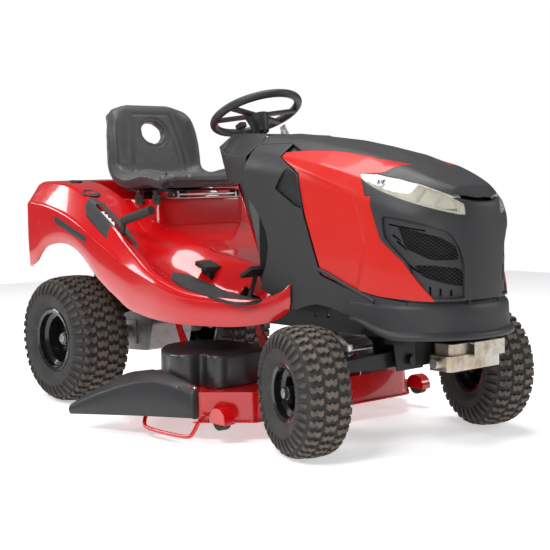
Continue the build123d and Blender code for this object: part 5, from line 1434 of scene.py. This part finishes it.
def seam_grooves(pad):
    """Presses the sewn lines of the centre panels into the pad."""
    origin = at(0, 0, 0)
    for v in pad.data.vertices:
        x, y, z = (v.co - origin) / MM
        seat_part = z < 850 and v.normal.z > 0.35
        back_part = z > 850 and v.normal.y < -0.35
        if not (seat_part or back_part):
            continue
        if back_part:
            half = blend(z, [(850, 118), (930, 106), (1040, 84)])
            gap = abs(abs(x) - half) if z < 1046 else math.hypot(max(0, abs(x) - half), z - 1046)
            cross = abs(z - 1046) if abs(x) < half else 99
            ring = abs(math.hypot(x / 1.18, z - 978) - 52)
            gap = min(gap, cross, ring)
        else:
            half = blend(y, [(890, 112), (1050, 126), (1190, 120)])
            gap = min(abs(abs(x) - half), abs(y - 925) if abs(x) < half else 99)
        groove = 3.4 * math.exp(-(gap / 4.6) ** 2)
        puff = 1.2 * math.exp(-((gap - 12) / 7.0) ** 2)
        v.co -= v.normal * (groove - puff) * MM


# ------------------------------------------------------------------ small parts
COVER_PLAN = [
    (-128, 470), (-150, 436), (-183, 420), (-271, 402), (-350, 398), (-384, 414), (-392, 448), (-374, 474),
    (-380, 494), (-412, 488), (-448, 508), (-452, 560), (-430, 620), (-392, 690), (-330, 750), (-275, 772),
    (-160, 760), (-118, 690), (-112, 560),
]


def belt_covers():
    """Faceted covers over the deck's belt, one over each blade spindle."""
    shape = rounded(COVER_PLAN, 16, 3)
    cover = slab("belt_cover_skin", shape, "z", 150, 255, 9, 5, 60)
    lid = slab(
        "belt_cover_lid", [(x * 0.93 - 20, 590 + (y - 590) * 0.9) for x, y in shape], "z", 240, 255.8, 2.2, 3, 60,
    )
    screws = [
        turned("cover_screw", [(-4, 0.2), (-4, 7), (2, 7), (4, 5), (4, 0.2)], at(x, y, 254), (0, 0, 1), 20)
        for x, y in ((-300, 450), (-200, 700), (-390, 560))
    ]
    pair = both_sides(joined("belt_cover_skin", lid, *screws, cover))
    return done(pair, "deck", FINISHES["dark_gloss"], ["belt_covers"], 40)


CHUTE_EDGE = [(0, 76), (0.5, 64), (1, 50)]
CHUTE_RIDGE = [(0, 148), (0.08, 158), (0.18, 172), (0.32, 180), (0.46, 172), (0.6, 152), (0.78, 122), (1, 80)]
CHUTE_TOP = [(0, 170), (0.15, 184), (0.34, 198), (0.5, 200), (0.75, 180), (1, 128)]


def chute():
    """Guard over the discharge opening: a slanted outer wall under a rounded ridge."""
    def place(u, v):
        s = min(1.0, max(0.0, (u - 0.04) / 0.96))
        x, y = -480 - 158 * s, 398 + 456 * s
        low, ridge, top = (blend(s, line) for line in (CHUTE_EDGE, CHUTE_RIDGE, CHUTE_TOP))
        if v < 0.42:
            t = v / 0.42
            bulge = 7 * math.sin(math.pi * t)
            p = (x - bulge, y - 0.3 * bulge, low + (ridge - low) * t)
        else:
            t = (v - 0.42) / 0.58
            p = (x + (-462 - x) * t, y + 6 * t, ridge + (top - ridge) * math.sin(t * math.pi / 2))
        if u < 0.04:
            p = (p[0] + (-462 - p[0]) * (1 - u / 0.04), p[1] + 2, p[2] - 4)
        return at(*p)

    guard = surface("chute_guard", 76, 40, place)
    outward(guard)
    modify(guard, "SMOOTH", factor=0.5, iterations=3)
    modify(guard, "SOLIDIFY", thickness=4 * MM, offset=-1)
    soft_edges(guard, 1.2, 2, 50)
    return done(guard, "deflector_body", FINISHES["dark_plastic"], ["deflector"], 50)


def deck_details():
    """Spring, arm and hinge pin of the chute guard, and the skid rod."""
    hinge_x, hinge_z = -466, 166
    coil = []
    for k in range(0, 150):
        a = k / 12 * 2 * math.pi
        coil.append(at(hinge_x + 9 * math.cos(a), 452 + k * 0.55, hinge_z + 9 * math.sin(a)))
    spring = rod("chute_spring", coil, 1.6, True, 3)
    arm = rod("spring_arm", [at(hinge_x - 8, 452, hinge_z), at(hinge_x - 46, 440, hinge_z + 6)], 1.6)
    pin = rod("hinge_pin", [at(hinge_x, 405, hinge_z), at(hinge_x, 690, hinge_z)], 4.2)
    steel = joined("chute_spring", arm, pin, spring)
    done(steel, "deck", FINISHES["chrome"])
    skid = rod("skid_rod", [
        at(-505, 345, 74), at(-518, 352, 40), at(-528, 372, 28), at(-535, 560, 28), at(-532, 596, 40),
        at(-512, 604, 66),
    ], 6.5, True)
    return done(skid, "deck", FINISHES["red_gloss"])


CAD_FINISHES = {
    "chassis_frame": "black_paint", "hitch_plate": "black_paint", "transaxle_housing": "cast_aluminium",
    "engine_block": "cast_aluminium", "blower_housing": "dark_plastic", "muffler": "stainless",
    "drive_belt": "belt_rubber", "fuel_tank": "tank_plastic", "dash_console": "dark_plastic",
    "battery": "battery_plastic", "seat_hinge": "zinc", "front_axle_beam": "black_paint",
    "spindle_right": "black_paint", "spindle_left": "black_paint", "tie_rod": "zinc", "drag_link": "zinc",
    "steering_sector": "zinc", "steering_pinion_shaft": "zinc", "steering_wheel": "dark_plastic",
    "steering_column": "dark_plastic", "front_rim_right": "black_gloss", "front_rim_left": "black_gloss",
    "rear_rim_right": "black_gloss", "rear_rim_left": "black_gloss", "axle_shaft_right": "cap_metal",
    "axle_shaft_left": "cap_metal", "seat_bracket": "black_paint", "seat_knobs": "hard_rubber",
    "height_lever": "hard_rubber", "deck_shell": "red_gloss", "spindle_housings": "cast_aluminium",
    "deck_belt": "belt_rubber", "belt_covers": "dark_gloss", "blade_right": "blade_steel",
    "blade_left": "blade_steel", "deflector": "dark_plastic", "gauge_wheel_right": "hard_rubber",
    "gauge_wheel_left": "hard_rubber", "crankshaft_pulley": "zinc", "transaxle_pulley": "zinc",
    "drive_pedals": "hard_rubber", "reverse_pedal": "hard_rubber", "brake_pedal": "hard_rubber",
    "throttle_lever": "dark_plastic", "ignition_key": "zinc", "fuel_cap": "dark_plastic",
}


def finish_frame_pieces():
    """Gives each frame piece that stays in view its finish."""
    for name, key in CAD_FINISHES.items():
        node = frame["nodes"][name]
        if not node.material_slots:
            node.data.materials.append(FINISHES[key])
        for s in node.material_slots:
            s.material = FINISHES[key]


# ------------------------------------------------------------------ stage
def stage(settings):
    """Pale floor, soft studio lights and the camera."""
    deselect()
    bpy.ops.mesh.primitive_plane_add(size=11, location=(0, 0, -0.0005))
    floor = bpy.context.object
    floor.name = "studio_floor"
    f = Finish(
        "studio floor", (0.8, 0.8, 0.8), 0.7, Specular_IOR_Level=0.1, Emission_Color=(1, 1, 1, 1),
        Emission_Strength=0.5,
    )
    f.relief(f.noise(3, 3), 0.02, 0.2)
    f.gloss(f.ramp(f.noise(400, 3), 0.3, 0.7), 0.1)
    floor.data.materials.append(f.material)
    world = bpy.data.worlds.new("studio")
    world.use_nodes = True
    world.node_tree.nodes["Background"].inputs["Color"].default_value = (1.0, 1.0, 1.0, 1)
    path = world.node_tree.nodes.new("ShaderNodeLightPath")
    level = world.node_tree.nodes.new("ShaderNodeMapRange")
    level.inputs["To Min"].default_value, level.inputs["To Max"].default_value = settings.surround, 1.0
    world.node_tree.links.new(path.outputs["Is Camera Ray"], level.inputs["Value"])
    world.node_tree.links.new(level.outputs["Result"], world.node_tree.nodes["Background"].inputs["Strength"])
    bpy.context.scene.world = world
    aim = Vector((0, 0, 0.5))
    for name, spot, size, power in (
        ("key", (-3.8, -1.6, 4.0), (1.6, 1.2), 300), ("top", (0.2, 0.3, 4.6), (3.2, 2.4), 340),
        ("side", (3.8, -3.4, 2.4), (1.4, 1.8), 110), ("rear", (-2.6, 4.2, 3.2), (2.0, 1.6), 170),
        ("low", (-2.4, -4.6, 1.3), (2.2, 0.7), 60),
    ):
        bpy.ops.object.light_add(type="AREA", location=spot)
        lamp = bpy.context.object
        lamp.name = "studio_" + name
        lamp.data.shape = "RECTANGLE"
        lamp.data.size, lamp.data.size_y = size
        lamp.data.energy = power * settings.light
        lamp.rotation_euler = (aim - Vector(spot)).to_track_quat("-Z", "Y").to_euler()
    place, target = Vector((-2.5695, -3.0901, 0.7957)), Vector((0.0968, 0.0093, 0.4697))
    bpy.ops.object.camera_add(location=place)
    camera = bpy.context.object
    camera.name = "view_camera"
    turn = (target - place).to_track_quat("-Z", "Y").to_matrix() @ Matrix.Rotation(
        math.radians(settings.roll), 3, "Z",
    )
    camera.rotation_euler = turn.to_euler()
    camera.data.lens, camera.data.sensor_width = settings.lens, 36
    bpy.context.scene.camera = camera
    bpy.context.scene.view_settings.view_transform = "Standard"


# ------------------------------------------------------------------ add-on
class MowerSettings(bpy.types.PropertyGroup):
    """Colours and sizes that can be changed before the pieces are made."""

    body_red: FloatVectorProperty(
        name="Body red", description="Paint of the body and deck", subtype="COLOR", default=(0.50, 0.002, 0.004),
        min=0, max=1,
    )
    hood_red: FloatVectorProperty(
        name="Hood red", description="Plastic of the hood's sides", subtype="COLOR",
        default=(0.52, 0.012, 0.007), min=0, max=1,
    )
    plastic: FloatVectorProperty(
        name="Anthracite", description="Plastic of the front covers and dash", subtype="COLOR",
        default=(0.019, 0.0195, 0.0215), min=0, max=1,
    )
    light: FloatProperty(
        name="Light", description="Share of the studio lights' full power", default=0.55, min=0, max=4,
    )
    surround: FloatProperty(
        name="Surround", description="Brightness of the white room", default=0.16, min=0, max=4,
    )
    lens: FloatProperty(
        name="Lens", description="Focal length of the camera", default=78.75, min=20, max=200, unit="CAMERA",
    )
    roll: FloatProperty(
        name="Roll", description="Turn of the camera about its own line of sight, in degrees", default=-0.908,
        min=-10, max=10,
    )


class MOWER_OT_finishes(bpy.types.Operator):
    """Makes the finishes and gives the frame's own pieces theirs"""

    bl_idname = "mower.finishes"
    bl_label = "Finishes"

    def execute(self, context):
        FINISHES.update(make_finishes(context.scene.mower))
        finish_frame_pieces()
        return {"FINISHED"}


class MOWER_OT_hood(bpy.types.Operator):
    """Models the hood's nose, grille, red sides and headlights"""

    bl_idname = "mower.hood"
    bl_label = "Hood"

    def execute(self, context):
        HoodPiece.mask()
        HoodPiece.liner()
        HoodPiece.grille()
        HoodPiece.red_sides()
        HoodPiece.lamps()
        return {"FINISHED"}


class MOWER_OT_fascias(bpy.types.Operator):
    """Models the side fascias with their vents, and the front skirt"""

    bl_idname = "mower.fascias"
    bl_label = "Fascias and skirt"

    def execute(self, context):
        HoodPiece.fascias()
        HoodPiece.bumper()
        dash()
        return {"FINISHED"}


class MOWER_OT_body(bpy.types.Operator):
    """Models the red body, its mats, quadrant plate and trim"""

    bl_idname = "mower.body"
    bl_label = "Red body"

    def execute(self, context):
        rear_body()
        quadrant()
        body_trim()
        mats()
        return {"FINISHED"}


class MOWER_OT_wheels(bpy.types.Operator):
    """Models the four treaded tyres and the hub caps"""

    bl_idname = "mower.wheels"
    bl_label = "Tyres"

    def execute(self, context):
        for side in ("right", "left"):
            tyre(f"front_tyre_{side}", f"front_wheel_{side}", *FRONT_TYRE, False)
            tyre(f"rear_tyre_{side}", f"rear_wheel_{side}", *REAR_TYRE, True)
            wheel_trim(f"front_tyre_{side}", f"front_wheel_{side}", False)
            wheel_trim(f"rear_tyre_{side}", f"rear_wheel_{side}", True)
        return {"FINISHED"}


class MOWER_OT_seat(bpy.types.Operator):
    """Models the padded seat"""

    bl_idname = "mower.seat"
    bl_label = "Seat"

    def execute(self, context):
        seat()
        return {"FINISHED"}


class MOWER_OT_deck(bpy.types.Operator):
    """Models the small parts on the cutting deck"""

    bl_idname = "mower.deck"
    bl_label = "Deck details"

    def execute(self, context):
        belt_covers()
        chute()
        deck_details()
        return {"FINISHED"}


class MOWER_OT_stage(bpy.types.Operator):
    """Sets up the floor, the lights and the camera"""

    bl_idname = "mower.stage"
    bl_label = "Stage"

    def execute(self, context):
        stage(context.scene.mower)
        return {"FINISHED"}


STEPS = ("finishes", "hood", "fascias", "body", "wheels", "seat", "deck", "stage")


class MOWER_PT_panel(bpy.types.Panel):
    """Lists the mower's settings and steps"""

    bl_idname = "MOWER_PT_panel"
    bl_label = "Riding Lawn Mower"
    bl_space_type = "VIEW_3D"
    bl_region_type = "UI"
    bl_category = "Mower"

    def draw(self, context):
        for prop in MowerSettings.__annotations__:
            self.layout.prop(context.scene.mower, prop)
        for step in STEPS:
            self.layout.operator(f"mower.{step}")


CLASSES = (
    MowerSettings, MOWER_OT_finishes, MOWER_OT_hood, MOWER_OT_fascias, MOWER_OT_body, MOWER_OT_wheels,
    MOWER_OT_seat,
    MOWER_OT_deck, MOWER_OT_stage, MOWER_PT_panel,
)


def register():
    """Makes the settings, steps and panel known."""
    for c in CLASSES:
        bpy.utils.register_class(c)
    bpy.types.Scene.mower = PointerProperty(type=MowerSettings)


def unregister():
    """Takes them away again."""
    del bpy.types.Scene.mower
    for c in reversed(CLASSES):
        bpy.utils.unregister_class(c)


def main():
    """Runs every step in order."""
    register()
    for step in STEPS:
        getattr(bpy.ops.mower, step)()


if __name__ == "__main__":
    main()
